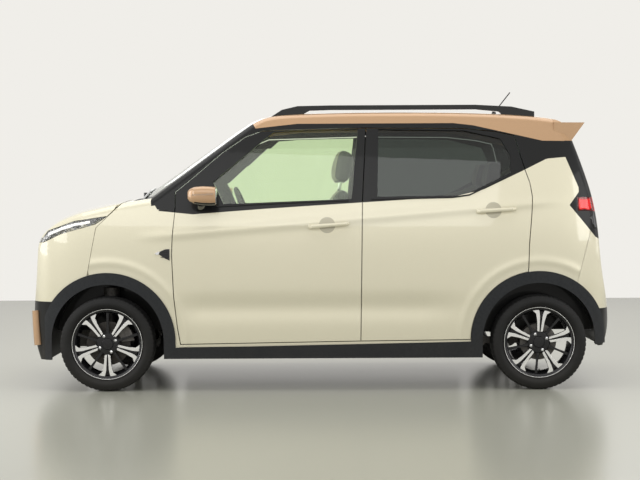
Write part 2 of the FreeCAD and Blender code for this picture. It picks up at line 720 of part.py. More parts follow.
def placed(shape, x, y, z):
    copy = shape.copy()
    copy.translate(FreeCAD.Vector(x, y, z))
    return copy


rim_left = rim()
tyre_left = tyre()
knuckle_left = placed(knuckle(), front_axle_x, -front_track / 2, axle_z)

# rear axle
beam_lead = 150.0
beam_x = rear_axle_x - beam_lead
beam_radius = 38.0
beam_half = 520.0
arm_width = 30.0
arm_inner_half = 515.0
pivot_lead = 330.0
pivot_x = rear_axle_x - pivot_lead
spring_trail = 125.0
spring_x = beam_x + spring_trail
spring_middle = 428.0
spring_seat = 52.0
drum_radius = 105.0
drum_half = 26.0


def rear_axle():
    beam = Part.makeCylinder(beam_radius, 2 * beam_half, FreeCAD.Vector(beam_x, -beam_half, axle_z),
                             FreeCAD.Vector(0, 1, 0))
    arm = block(pivot_x, rear_axle_x + beam_radius, -arm_inner_half - arm_width, -arm_inner_half,
                axle_z - beam_radius / 2, axle_z + beam_radius / 2)
    bush = placed(disc(beam_radius, -beam_radius, beam_radius), pivot_x, -arm_inner_half, axle_z)
    centre = (rear_axle_x, -rear_track / 2, axle_z)
    drum = placed(disc(drum_radius, -drum_half * 2, hub_back - seat_gap), *centre)
    stub = placed(disc(bore_radius - 2 * seat_gap, -drum_half * 4, hub_front - 2 * web_half), *centre)
    foot = FreeCAD.Vector(spring_x, -spring_middle, axle_z)
    spring = Part.makeCylinder(spring_radius, load_floor_z - seat_gap - axle_z, foot)
    seat = block(beam_x, spring_x + spring_seat, -spring_middle - spring_seat,
                 -spring_middle + spring_seat, axle_z - beam_radius / 2, axle_z + beam_radius / 2)
    side = arm.fuse([bush, drum, stub, spring, seat])
    return beam.fuse([side, mirrored(side)])


battery_half = 560.0
battery_front_x = -640.0
battery_rear_x = pivot_x - beam_radius - 3 * shut_gap
battery_bottom_z = 240.0
battery_round = 25.0
battery = block(battery_front_x, battery_rear_x, -battery_half, battery_half,
                battery_bottom_z, floor_bottom_z - seat_gap)
battery = battery.makeFillet(battery_round, [edge for edge in battery.Edges
                                             if edge.BoundBox.ZMin < floor_bottom_z - battery_round])

# front subframe with lower arms
subframe_lead = 120.0
subframe_trail = 190.0
subframe_x0 = front_axle_x - subframe_lead
subframe_x1 = front_axle_x + subframe_trail
subframe_half = 300.0
subframe_z = 172.0
subframe_depth = 45.0
arm_half_width = 26.0
arm_thickness = 18.0
arm_z = axle_z - ball_drop - shut_gap
rack_radius = 20.0
rack_trail = 150.0
rack_x = front_axle_x + rack_trail
post_height = 180.0
post_inner = 280.0
post_outer = front_well_inner - well_wall - seat_gap


def front_subframe():
    top_z = subframe_z + subframe_depth
    hollow_x0 = subframe_x0 + subframe_depth
    hollow_x1 = subframe_x1 - subframe_depth
    hollow_half = subframe_half - subframe_depth
    frame = block(subframe_x0, subframe_x1, -subframe_half, subframe_half, subframe_z, top_z)
    hollow = block(hollow_x0, hollow_x1, -hollow_half, hollow_half, 0, tall_z)
    arm_points = [FreeCAD.Vector(front_axle_x - arm_half_width, -kingpin_half, arm_z),
                  FreeCAD.Vector(front_axle_x + arm_half_width, -kingpin_half, arm_z),
                  FreeCAD.Vector(subframe_x1, -hollow_half, arm_z),
                  FreeCAD.Vector(subframe_x0, -hollow_half, arm_z)]
    arm = Part.Face(Part.makePolygon(arm_points + arm_points[:1]))
    arm = arm.extrude(FreeCAD.Vector(0, 0, -arm_thickness))
    riser = block(subframe_x0, subframe_x1, -subframe_half, -hollow_half,
                  arm_z - arm_thickness, subframe_z)
    riser = riser.cut(block(hollow_x0, hollow_x1, -subframe_half, 0, 0, subframe_z))
    posts = [block(x, x + subframe_depth, -post_outer, -post_inner, subframe_z,
                   subframe_z + post_height) for x in (subframe_x0, hollow_x1)]
    rack_half = subframe_half + subframe_depth
    rack = tube(rack_radius, rack_x, top_z, -rack_half, rack_half)
    side = arm.fuse([riser] + posts)
    return frame.cut(hollow).fuse([side, mirrored(side), rack])


# drive motor on the subframe
motor_size = (390.0, 520.0, 330.0)
motor_lead = 80.0
motor_x = front_axle_x - motor_lead
motor_z = subframe_z + subframe_depth + seat_gap
motor = block(motor_x - motor_size[0] / 2, motor_x + motor_size[0] / 2,
              -motor_size[1] / 2, motor_size[1] / 2, motor_z, motor_z + motor_size[2])
motor = motor.makeFillet(battery_round, [edge for edge in motor.Edges
                                         if edge.BoundBox.ZMax > motor_z + battery_round])

# cladding round the arches and along the sills
def cladding():
    outer = side_slab(-cladding_proud)
    rings = [arch_opening(axle_x, arch_band) for axle_x in (front_axle_x, rear_axle_x)]
    band = across(sill_shares).fuse(rings).common(block(nose_x, tail_x, -reach, 0, 0, tall_z))
    nose = block(nose_x, nose_x + band_front, -reach, 0, 0, tall_z)
    return outer.common(band.cut([underside, arches, nose])).cut(side_slab(0))


# roof rails
rail_shares = ((0.371, 0.952), (0.405, 0.985), (0.442, 0.998), (0.520, 1.0), (0.860, 1.0), (0.945, 0.993),
               (0.999, 0.975), (0.999, 0.950), (0.930, 0.955), (0.915, 0.975), (0.860, 0.983), (0.520, 0.983),
               (0.470, 0.981), (0.445, 0.960))
rail_half = 515.0
rail_width = 28.0


def roof_rails():
    bar = side_face(rail_shares).extrude(FreeCAD.Vector(0, rail_width, 0))
    bar.translate(FreeCAD.Vector(0, -rail_half - rail_width / 2, 0))
    bar = bar.cut(cabin_outer)
    return both_sides(max(bar.Solids, key=lambda part: part.Volume))


antenna_x = 1085.0
antenna_foot_radius = 17.0
antenna_height = 30.0
antenna_foot_share = 0.980
antenna_rod = 3.5
antenna_run = 100.0
antenna_rise = 126.0


def antenna():
    base_z = up(antenna_foot_share)
    base = Part.makeCone(antenna_foot_radius, antenna_foot_radius / 2, antenna_height,
                         FreeCAD.Vector(antenna_x, 0, base_z))
    run = FreeCAD.Vector(antenna_run, 0, antenna_rise)
    start = FreeCAD.Vector(antenna_x, 0, base_z + antenna_height / 2)
    mast = Part.makeCylinder(antenna_rod, run.Length, start, run)
    return base.fuse(mast).cut(cabin_outer)


# mirrors
mirror_x0 = -752.0
mirror_x1 = -588.0
mirror_z0 = 1068.0
mirror_z1 = 1180.0
mirror_inner = 742.0
mirror_outer = 872.0
mirror_nose_share = 0.62
mirror_swell_share = 0.97
mirror_foot = (-735.0, -655.0, 1040.0, 1062.0)
foot_overlap = 60.0
neck_inset = 10.0
neck_width = 45.0
neck_rise = 20.0


def mirror_frame(x, share):
    mid_y = -(mirror_inner + mirror_outer) / 2
    mid_z = (mirror_z0 + mirror_z1) / 2
    half_y = (mirror_outer - mirror_inner) / 2 * share
    half_z = (mirror_z1 - mirror_z0) / 2 * share
    corners = [FreeCAD.Vector(x, mid_y + sy * half_y, mid_z + sz * half_z)
               for sy, sz in ((-1, -1), (1, -1), (1, 1), (-1, 1))]
    return Part.makePolygon(corners + corners[:1])


def mirror_left():
    mid_x = mirror_x0 + (mirror_x1 - mirror_x0) * mirror_nose_share
    frames = [mirror_frame(mirror_x0, mirror_nose_share), mirror_frame(mid_x, mirror_swell_share),
              mirror_frame(mirror_x1, 1)]
    housing = Part.makeLoft(frames, True, True)
    x0, x1, z0, z1 = mirror_foot
    foot_end = -mirror_inner - foot_overlap
    foot = block(x0, x1, foot_end, -side_half + foot_overlap, z0, z1)
    neck = block(x0 + neck_inset, x1 - neck_inset, foot_end, foot_end + neck_width,
                 z0, mirror_z0 + neck_rise)
    return housing.fuse([foot.cut(cabin_outer), neck])


# seats
seat_middle = 330.0
seat_round = 40.0
front_cushion = (-470.0, 20.0, 500.0, 640.0)
front_seat_half = 235.0
seat_base = (-420.0, -20.0)
base_top_z = 520.0
front_back = (-40.0, 560.0, 120.0, 1190.0, 110.0)
front_rest = (118.0, 1215.0, 150.0, 1385.0, 95.0)
rear_cushion = (420.0, 880.0, 480.0, 600.0)
rear_back = (835.0, 560.0, 965.0, 1130.0, 115.0)
rear_rest = (955.0, 1150.0, 980.0, 1290.0, 85.0)
rest_half = 125.0
rest_middle = 280.0
rear_half = 590.0
rear_back_half = 530.0
post_radius = 7.0
post_run = 110.0
post_set_in = 42.0


def leaning_block(foot_x, foot_z, top_x, top_z, thickness, half, middle):
    """Upright pad from its foot to its top, with rounded edges."""
    corners = ((foot_x, foot_z), (foot_x + thickness, foot_z), (top_x + thickness, top_z),
               (top_x, top_z))
    ring = [FreeCAD.Vector(x, middle - half, z) for x, z in corners]
    face = Part.Face(Part.makePolygon(ring + ring[:1]))
    shape = face.extrude(FreeCAD.Vector(0, 2 * half, 0))
    return shape.makeFillet(seat_round, shape.Edges)


def seat_cushion(place, half, middle, base_x0, base_x1):
    """Rounded cushion on its base, which stands on the floor pan."""
    x0, x1, z0, z1 = place
    cushion = block(x0, x1, middle - half, middle + half, z0, z1)
    base = block(base_x0, base_x1, middle - half + seat_round, middle + half - seat_round,
                 floor_top_z + seat_gap, base_top_z)
    return cushion.makeFillet(seat_round, cushion.Edges).fuse(base)


def head_rest(place, middle):
    """Head restraint with its post, which reaches down into the back."""
    foot = FreeCAD.Vector(place[0] + post_set_in, middle, place[1] - post_run / 2)
    post = Part.makeCylinder(post_radius, post_run, foot)
    return leaning_block(*place, rest_half, middle).fuse(post)


def front_seat(middle):
    cushion = seat_cushion(front_cushion, front_seat_half, middle, *seat_base)
    back = leaning_block(*front_back, front_seat_half, middle)
    return cushion.fuse([back, head_rest(front_rest, middle)])


def front_seats():
    return Part.makeCompound([front_seat(-seat_middle), front_seat(seat_middle)])


def rear_seat():
    cushion = seat_cushion(rear_cushion, rear_half, 0, rear_cushion[0] + seat_round,
                           rear_cushion[1])
    back = leaning_block(*rear_back, rear_back_half, 0)
    rests = [head_rest(rear_rest, middle) for middle in (-rest_middle, rest_middle)]
    return cushion.fuse([back] + rests)


# dashboard and steering wheel
dash_points = ((-1010.0, 985.0), (-1010.0, 1040.0), (-700.0, 1078.0), (-640.0, 1045.0),
               (-640.0, 900.0), (-690.0, 780.0), (-780.0, 760.0))
dash_half = 605.0
dash_round = 14.0
dash_round_x = -710.0
wheel_centre = (-470.0, 330.0, 1012.0)
wheel_radius = 176.0
wheel_rim = 14.0
wheel_rim_sides = 10
wheel_tilt = 25.0
column_radius = 28.0
column_length = 190.0
column_gap = 30.0
wheel_hub = 62.0
hub_depth = 34.0
hub_set_back = 24.0
bar_width = 26.0
bar_depth = 12.0
quarter_turn = 90.0


def column_axis():
    tilt = math.radians(wheel_tilt)
    return FreeCAD.Vector(math.cos(tilt), 0, math.sin(tilt))


def dashboard():
    """Dashboard against the bulkhead, with the steering column."""
    ring = [FreeCAD.Vector(x, -dash_half, z) for x, z in dash_points]
    face = Part.Face(Part.makePolygon(ring + ring[:1]))
    body = face.extrude(FreeCAD.Vector(0, 2 * dash_half, 0))
    rounded = [edge for edge in body.Edges
               if edge.BoundBox.YLength > dash_half and edge.BoundBox.XMin > dash_round_x]
    body = body.makeFillet(dash_round, rounded).common(across(cabin_shares, -seat_gap))
    axis = column_axis()
    start = FreeCAD.Vector(*wheel_centre) - axis * (column_length + column_gap)
    column = Part.makeCylinder(column_radius, column_length, start, axis)
    return body.fuse(column)


def steering_wheel():
    """Rim, hub and three bars about the column's axis."""
    turns = [index * 2 * math.pi / wheel_rim_sides for index in range(wheel_rim_sides)]
    ring = turned([(wheel_radius + wheel_rim * math.cos(turn), wheel_rim * math.sin(turn))
                   for turn in turns])
    hub = disc(wheel_hub, -hub_set_back, hub_depth - hub_set_back)
    bar = block(-bar_width / 2, bar_width / 2, 0, bar_depth, 0, wheel_radius)
    bars = [around(bar, 1, turn * quarter_turn)[0] for turn in (-1, 1, 2)]
    wheel = ring.fuse([hub] + bars)
    wheel.rotate(FreeCAD.Vector(0, 0, 0), FreeCAD.Vector(0, 0, 1), quarter_turn)
    wheel.rotate(FreeCAD.Vector(0, 0, 0), FreeCAD.Vector(0, 1, 0), -wheel_tilt)
    wheel.translate(FreeCAD.Vector(*wheel_centre))
    return wheel


# wipers
wiper_radius = 6.0
wiper_arm_radius = 5.0
wiper_cap_radius = 13.0
wiper_cap_height = 16.0
front_wiper_places = (
    ((-1070.0, 470.0, 1124.0), ((-1020.0, 440.0, 1139.0), (-1025.0, 130.0, 1170.0),
                                (-1035.0, -180.0, 1160.0))),
    ((-1070.0, -130.0, 1134.0), ((-1020.0, -60.0, 1175.0), (-1025.0, -300.0, 1155.0),
                                 (-1040.0, -540.0, 1107.0))))
rear_wiper_pivot = (1640.0, 0.0, 1130.0)
rear_blade_run = ((1611.5, 10.0, 1185.0), (1608.0, 170.0, 1185.0), (1600.5, 320.0, 1186.0))


def rod(start, end, radius):
    run = FreeCAD.Vector(*end) - FreeCAD.Vector(*start)
    return Part.makeCylinder(radius, run.Length, FreeCAD.Vector(*start), run)


def wiper(pivot, blade_run, cap_run):
    """Cap on its pivot, arm and blade."""
    start, middle, end = blade_run
    foot = tuple(a - b for a, b in zip(pivot, cap_run))
    head = tuple(a + b for a, b in zip(pivot, cap_run))
    return rod(foot, head, wiper_cap_radius).fuse([
        rod(pivot, middle, wiper_arm_radius), rod(start, middle, wiper_radius),
        rod(middle, end, wiper_radius)])


front_wipers = Part.makeCompound([
    wiper(pivot, run, (0, 0, wiper_cap_height)) for pivot, run in front_wiper_places])
front_wipers = front_wipers.cut(cabin_outer).cut(front_outer)
rear_wiper = wiper(rear_wiper_pivot, rear_blade_run, (wiper_cap_height, 0, 0)).cut(
    cabin_outer.common(block(rear_wiper_pivot[0] - 2 * wiper_cap_height - reach, tail_x, -reach, reach, 0,
                             rear_wiper_pivot[2] + wiper_cap_radius)))

grille_half_shares = ((0.520, 0.190), (0.580, 0.235), (0.520, 0.280))
grille_zone = front_view(grille_half_shares, 0, nose_x - reach, front_axle_x)
grille = front_skin.common(grille_zone).cut(front_body(panel_thickness + 2 * shut_gap))
front_bumper = front_bumper.cut(grille_zone)

# number plate screw holes, with no plate
screw_radius = 3.0
screw_spacing = 210.0
front_screw_z = 505.0
rear_screw_z = 800.0


def screw_holes(x, z):
    holes = []
    for y in (-screw_spacing / 2, screw_spacing / 2):
        holes.append(Part.makeCylinder(screw_radius, reach, FreeCAD.Vector(x, y, z),
                                       FreeCAD.Vector(1, 0, 0)))
    return holes


front_bumper = front_bumper.cut(screw_holes(nose_x - reach / 2, front_screw_z))
tailgate = tailgate.cut(screw_holes(tail_x - reach / 2, rear_screw_z))

mirror_shape = mirror_left()
rear_axle_shape = rear_axle()
nodes = {
    "body_shell": body_shell,
    "roof_panel": roof_panel,
    "floor_pan": floor_pan,
    "fenders": fenders,
    "front_bumper": front_bumper,
    "rear_bumper": rear_bumper,
    "hood": hood,
    "tailgate": tailgate,
    "tailgate_glass": tailgate_glass,
    "spoiler": spoiler,
    "windshield": windshield,
    "front_door_left": front_door_left,
    "front_door_right": mirrored(front_door_left),
    "rear_door_left": rear_door_left,
    "rear_door_right": mirrored(rear_door_left),
    "front_glass_left": front_glass_left,
    "front_glass_right": mirrored(front_glass_left),
    "rear_glass_left": rear_glass_left,
    "rear_glass_right": mirrored(rear_glass_left),
    "mirror_left": mirror_shape,
    "mirror_right": mirrored(mirror_shape),
    "cowl": cowl,
    "grille": grille,
    "headlamps": headlamps,
    "tail_lamps": tail_lamps,
    "cladding": both_sides(cladding()),
    "roof_rails": roof_rails(),
    "antenna": antenna(),
    "charge_lid": charge_lid,
    "front_wipers": front_wipers,
    "rear_wiper": rear_wiper,
    "front_seats": front_seats(),
    "rear_seat": rear_seat(),
    "dashboard": dashboard(),
    "steering_wheel": steering_wheel(),
    "knuckle_left": knuckle_left,
    "knuckle_right": mirrored(knuckle_left),
    "front_subframe": front_subframe(),
    "rear_axle": rear_axle_shape,
    "battery_pack": battery,
    "drive_motor": motor,
}
wheel_places = {"front_left": (front_axle_x, front_track), "rear_left": (rear_axle_x, rear_track)}
for place, (axle_x, track) in wheel_places.items():
    for piece, shape in (("rim_", rim_left), ("tyre_", tyre_left)):
        left = placed(shape, axle_x, -track / 2, axle_z)
        nodes[piece + place] = left
        nodes[piece + place.replace("left", "right")] = mirrored(left)

os.makedirs("parts", exist_ok=True)
for name, shape in nodes.items():
    shape.exportStep("parts/" + name + ".step")
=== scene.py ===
import json
import math

import bmesh
import bpy
from bpy.props import FloatProperty, FloatVectorProperty, IntProperty, PointerProperty
from mathutils import Matrix, Vector
from mathutils.bvhtree import BVHTree

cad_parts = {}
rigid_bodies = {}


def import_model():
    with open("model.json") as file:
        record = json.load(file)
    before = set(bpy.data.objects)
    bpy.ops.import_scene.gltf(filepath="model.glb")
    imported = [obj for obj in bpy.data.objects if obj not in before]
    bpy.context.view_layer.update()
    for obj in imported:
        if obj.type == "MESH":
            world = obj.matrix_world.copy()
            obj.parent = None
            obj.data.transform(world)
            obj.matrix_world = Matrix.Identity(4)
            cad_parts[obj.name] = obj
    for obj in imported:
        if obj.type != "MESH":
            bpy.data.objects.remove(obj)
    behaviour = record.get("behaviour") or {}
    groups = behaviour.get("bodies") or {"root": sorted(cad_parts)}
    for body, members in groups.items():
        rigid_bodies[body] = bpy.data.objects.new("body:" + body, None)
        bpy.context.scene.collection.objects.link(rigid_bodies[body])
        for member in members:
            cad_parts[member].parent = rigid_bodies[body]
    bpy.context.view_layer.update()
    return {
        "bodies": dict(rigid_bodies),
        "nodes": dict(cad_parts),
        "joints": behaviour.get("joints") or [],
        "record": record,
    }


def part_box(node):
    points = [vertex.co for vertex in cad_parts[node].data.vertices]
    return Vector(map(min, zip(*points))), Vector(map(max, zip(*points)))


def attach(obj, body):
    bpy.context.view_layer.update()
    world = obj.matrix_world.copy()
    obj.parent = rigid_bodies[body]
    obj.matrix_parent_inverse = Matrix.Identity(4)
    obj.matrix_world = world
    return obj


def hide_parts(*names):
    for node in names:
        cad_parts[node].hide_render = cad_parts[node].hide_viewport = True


bl_info = {
    "name": "Tall kei hatchback",
    "version": (1, 0, 0),
    "blender": (4, 5, 0),
    "location": "3D View > Sidebar > Hatchback",
    "description": "Dresses the packed hatchback with paint, glass, lamps, wheels and a cabin",
    "category": "Object",
}

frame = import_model()
nodes = frame["nodes"]
groups = {}
materials = {}

MM = 0.001
wheelbase = 2.495
height = 1.655
line_softness = 0.0016
dust_height = 0.6
sides = (("left", -1), ("right", 1))
corners = tuple((end + "_" + side, sy) for end in ("front", "rear") for side, sy in sides)
seat_finishes = ("seat fabric", "seat insert")


def centre_of(node):
    low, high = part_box(node)
    return (low + high) / 2


front_axle_x = centre_of("rim_front_left").x
axles = (front_axle_x, front_axle_x + wheelbase)
arch_z = centre_of("rim_front_left").z + 0.017
tyre_low, tyre_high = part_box("tyre_front_left")
tyre_radius = (tyre_high.z - tyre_low.z) / 2


def along(share):
    return front_axle_x + share * wheelbase


def up(share):
    return share * height


def placed(points):
    """Points in metres from shares of the wheelbase and of the height."""
    return [(along(a), up(b)) for a, b in points]


def fine(points, parts):
    """Even steps along each straight piece of a line, without its last end."""
    return [(ax + (bx - ax) * part / parts, az + (bz - az) * part / parts)
            for (ax, az), (bx, bz) in zip(points, points[1:]) for part in range(parts)]


def even(count):
    """Even shares from nought to one."""
    return [index / count for index in range(count + 1)]


def turns(count):
    """Even angles round a circle."""
    return [2 * math.pi * index / count for index in range(count)]


def soft_square(count, power):
    """Points round a square of half width one, its corners softened by a power."""
    def soft(value):
        return math.copysign(abs(value) ** power, value)
    return [(soft(math.cos(turn)), soft(math.sin(turn))) for turn in turns(count)]


def srgb(red, green, blue):
    def linear(value):
        value /= 255
        return value / 12.92 if value <= 0.04045 else ((value + 0.055) / 1.055) ** 2.4
    return (linear(red), linear(green), linear(blue), 1)


def shade(colour, factor, lift=0.0):
    """Colour made paler or deeper."""
    return tuple(min(1, c * factor + lift) for c in colour[:3]) + (1,)


# property groups


def colour_setting(name, description, red, green, blue):
    return FloatVectorProperty(name=name, description=description, subtype="COLOR", size=4,
                               min=0, max=1, default=srgb(red, green, blue))


class PaintSettings(bpy.types.PropertyGroup):
    body_colour: colour_setting("Body colour", "Sand paint of the body", 217, 211, 187)
    roof_colour: colour_setting("Roof colour", "Copper paint of the roof", 178, 143, 108)
    trim_colour: colour_setting("Pillar colour", "Black of the pillars", 13, 14, 15)
    cladding_colour: colour_setting("Cladding colour", "Plastic of the sills and arches",
                                    24, 26, 29)
    dust: FloatProperty(name="Dust", description="Road dust low on the body", default=0.12,
                        min=0, max=1, subtype="FACTOR")


class WheelSettings(bpy.types.PropertyGroup):
    pairs: IntProperty(name="Spoke pairs", description="Pairs of machined spokes", default=5,
                       min=3, max=9)
    lugs: IntProperty(name="Lug nuts", description="Nuts on each wheel", default=4, min=3, max=6)
    sipes: IntProperty(name="Shoulder blocks", description="Blocks round the tread's shoulder",
                       default=60, min=20, max=90)


class CabinSettings(bpy.types.PropertyGroup):
    fabric_colour: colour_setting("Fabric colour", "Seat fabric", 58, 58, 60)
    insert_colour: colour_setting("Insert colour", "Pale seat inserts", 176, 170, 158)


class StageSettings(bpy.types.PropertyGroup):
    floor_colour: colour_setting("Floor colour", "Studio floor", 164, 164, 152)
    wall_colour: colour_setting("Wall colour", "Studio wall", 240, 238, 233)
    camera_distance: FloatProperty(name="Camera distance", description="Camera to the centre",
                                   default=9.2, min=4, max=30, unit="LENGTH")
    camera_height: FloatProperty(name="Camera height", description="Camera above the floor",
                                 default=1.11, min=0.1, max=4, unit="LENGTH")
    lens: FloatProperty(name="Lens", description="Focal length in millimetres", default=82.92,
                        min=20, max=200)


# shader node tools


class Wire:
    """Output of a shader node. Arithmetic on it adds Math nodes to its tree."""

    def __init__(self, socket):
        self.socket = socket

    def __add__(self, other):
        return calculate("ADD", self, other)

    def __sub__(self, other):
        return calculate("SUBTRACT", self, other)

    def __rsub__(self, other):
        return calculate("SUBTRACT", other, self)

    def __mul__(self, other):
        return calculate("MULTIPLY", self, other)

    def __truediv__(self, other):
        return calculate("DIVIDE", self, other)


def plug(socket, value):
    """Links an input to another node's output, or sets its value."""
    if isinstance(value, Wire):
        value = value.socket
    if isinstance(value, bpy.types.NodeSocket):
        socket.id_data.links.new(value, socket)
    else:
        socket.default_value = value


def feed(node, **inputs):
    """Links or sets a node's inputs by name."""
    for name, value in inputs.items():
        plug(node.inputs[name.replace("_", " ")], value)
    return node


def add_node(tree, kind, **inputs):
    return feed(tree.nodes.new(kind), **inputs)


def calculate(operation, a, b=0.0):
    """Result of a Math node on numbers and at least one wire."""
    wire = a if isinstance(a, Wire) else b
    node = wire.socket.id_data.nodes.new("ShaderNodeMath")
    node.operation = operation
    plug(node.inputs[0], a)
    plug(node.inputs[1], b)
    return Wire(node.outputs[0])


def clamped(wire):
    """Keeps the last Math node's result between nought and one."""
    wire.socket.node.use_clamp = True
    return wire


def mix(factor, a, b):
    node = factor.socket.id_data.nodes.new("ShaderNodeMix")
    node.data_type = "RGBA"
    feed(node, Factor=factor)
    plug(node.inputs[6], a)
    plug(node.inputs[7], b)
    return Wire(node.outputs[2])


def mix_shaders(output, factor, first, second):
    """Blends two shaders by a factor into an output node."""
    blend = output.id_data.nodes.new("ShaderNodeMixShader")
    for socket, value in zip(blend.inputs, (factor, first.outputs[0], second.outputs[0])):
        plug(socket, value)
    feed(output, Surface=blend.outputs[0])


def object_point(tree):
    return tree.nodes.new("ShaderNodeTexCoord").outputs["Object"]


def axes_of(tree, vector=None):
    """X, Y and Z of a vector, of the object's own point when none is given."""
    split = add_node(tree, "ShaderNodeSeparateXYZ", Vector=vector or object_point(tree))
    return [Wire(socket) for socket in split.outputs]


def noise(tree, scale, detail):
    return Wire(add_node(tree, "ShaderNodeTexNoise", Scale=scale, Detail=detail, Roughness=0.55,
                         Vector=object_point(tree)).outputs["Fac"])


def cells(tree, scale):
    return add_node(tree, "ShaderNodeTexVoronoi", Scale=scale, Vector=object_point(tree)).outputs


def step(value, edge, softness):
    """Nought below an edge and one above it, over a softness."""
    return clamped((value - edge) / softness + 0.5)


def between(value, start, start_width, end, end_width):
    """One from start to end."""
    return step(value, start, start_width) * (1.0 - step(value, end, end_width))


def bell(value, middle, width):
    reach = (value - middle) / width
    return calculate("EXPONENT", reach * reach * -1.0)


def from_axle(run, lift):
    """Distance from a point in the side view."""
    return calculate("SQRT", run * run + lift * lift)


def curve_of(value, points, low_out, high_out):
    """Piecewise straight curve through points, in real sizes."""
    low_in, high_in = points[0][0], points[-1][0]
    node = value.socket.id_data.nodes.new("ShaderNodeFloatCurve")
    curve = node.mapping.curves[0]
    for index, (x, y) in enumerate(points):
        place = ((x - low_in) / (high_in - low_in), (y - low_out) / (high_out - low_out))
        if index < 2:
            curve.points[index].location = place
        else:
            curve.points.new(*place)
    for point in curve.points:
        point.handle_type = "VECTOR"
    node.mapping.update()
    feed(node, Value=(value - low_in) / (high_in - low_in))
    return Wire(node.outputs[0]) * (high_out - low_out) + low_out


# shader node groups


def new_group(name, inputs, outputs):
    """Shader group with named float or colour sockets: tree, input wires and output node."""
    tree = groups[name] = bpy.data.node_groups.new(name, "ShaderNodeTree")
    for way, sockets in (("INPUT", inputs), ("OUTPUT", outputs)):
        for socket, default in sockets.items():
            kind = "NodeSocketColor" if isinstance(default, tuple) else "NodeSocketFloat"
            made = tree.interface.new_socket(socket, in_out=way, socket_type=kind)
            made.default_value = default
    start = tree.nodes.new("NodeGroupInput")
    wires = [Wire(start.outputs[socket]) for socket in inputs]
    return tree, wires, tree.nodes.new("NodeGroupOutput")


def use_group(tree, name, **inputs):
    """Wires of a placed shader group's outputs by name."""
    node = tree.nodes.new("ShaderNodeGroup")
    node.node_tree = groups[name]
    feed(node, **inputs)
    return {socket.name: Wire(socket) for socket in node.outputs}


black = (0.0, 0.0, 0.0, 1.0)


def build_dust_group():
    tree, (colour, dust_colour, amount, roughness), end = new_group(
        "Road dust", {"Colour": (0.5, 0.5, 0.5, 1), "Dust colour": (0.5, 0.46, 0.38, 1),
                      "Amount": 0.2, "Roughness": 0.4}, {"Colour": black, "Roughness": 0.0})
    low = clamped(1.0 - axes_of(tree)[2] / dust_height)
    patch = noise(tree, 9.0, 5.0) * (low * low)
    mask = clamped((patch + patch * noise(tree, 160.0, 2.0)) * amount)
    feed(end, Colour=mix(mask, colour, dust_colour), Roughness=clamped(roughness + mask * 0.5))


def build_grain_group():
    tree, (colour, scale, roughness), end = new_group(
        "Moulded grain", {"Colour": (0.1, 0.1, 0.1, 1), "Scale": 900.0, "Roughness": 0.5},
        {"Colour": black, "Roughness": 0.0, "Height": 0.0})
    broad = noise(tree, 14.0, 4.0)
    pale = tree.nodes.new("ShaderNodeVectorMath")
    pale.operation = "SCALE"
    feed(pale, Vector=colour, Scale=1.6)
    feed(end, Colour=mix(broad * 0.35, colour, pale.outputs[0]),
         Roughness=clamped(roughness + (broad - 0.5) * 0.25), Height=cells(tree, scale)["Distance"])


def build_wear_group():
    tree, (colour, bare_colour, amount), end = new_group(
        "Worn edges", {"Colour": (0.1, 0.1, 0.1, 1), "Bare colour": (0.5, 0.5, 0.5, 1),
                       "Amount": 0.3}, {"Colour": black})
    edge = Wire(tree.nodes.new("ShaderNodeNewGeometry").outputs["Pointiness"])
    rubbed = step(edge, 0.53, 0.05) * step(noise(tree, 60.0, 4.0), 0.45, 0.2)
    feed(end, Colour=mix(clamped(rubbed * amount), colour, bare_colour))


belt_line = ((-0.35, 0.640), (0.05, 0.640), (0.20, 0.617), (0.366, 0.635), (0.595, 0.656),
             (0.806, 0.675), (0.873, 0.699), (0.968, 0.766), (1.022, 0.806), (1.066, 0.812),
             (1.25, 0.812))
garnish_line = ((0.40, 1.30), (0.532, 1.1325), (0.643, 1.072), (0.689, 1.095), (0.705, 1.095),
                (0.806, 1.068), (0.95, 1.03))
corner_line = ((0.124, 0.636), (0.159, 0.692))
well_half_width, well_foot, well_radius, well_top = 0.664, 0.335, 0.353, 0.66


def build_two_tone_group():
    """Masks of the black belt, tail garnish, hood corner and wheel wells and the roof's end."""
    tree, (softness,), end = new_group(
        "Two tone lines", {"Softness": 0.002},
        dict.fromkeys(("Belt", "Garnish", "Corner", "Roof end", "Wells"), 0.0))
    x, y, z = axes_of(tree)
    above = step(z, curve_of(x, placed(belt_line), 0.9, 1.5), softness)
    tail = [(up(a), along(b)) for a, b in garnish_line]
    behind = step(x, curve_of(z, tail, 1.2, 2.2), softness)
    (foot_x, foot_z), (top_x, top_z) = placed(corner_line)
    lean = x - foot_x - (z - foot_z) * ((top_x - foot_x) / (top_z - foot_z))
    wells = ((1.0 - step(calculate("ABSOLUTE", y), well_half_width, 0.002))
             * (1.0 - step(z, well_foot, 0.004)))
    for axle_x in axles:
        radius = from_axle(x - axle_x, calculate("MAXIMUM", z - arch_z, 0.0))
        near = (1.0 - step(radius, well_radius, 0.002)) * (1.0 - step(z, well_top, 0.002))
        wells = calculate("MAXIMUM", wells, near)
    feed(end, Belt=above, Garnish=behind, Corner=above * step(lean, 0.0, softness),
         Roof_end=step(x, along(1.034), 0.002) * step(z, up(0.870), 0.002), Wells=wells)


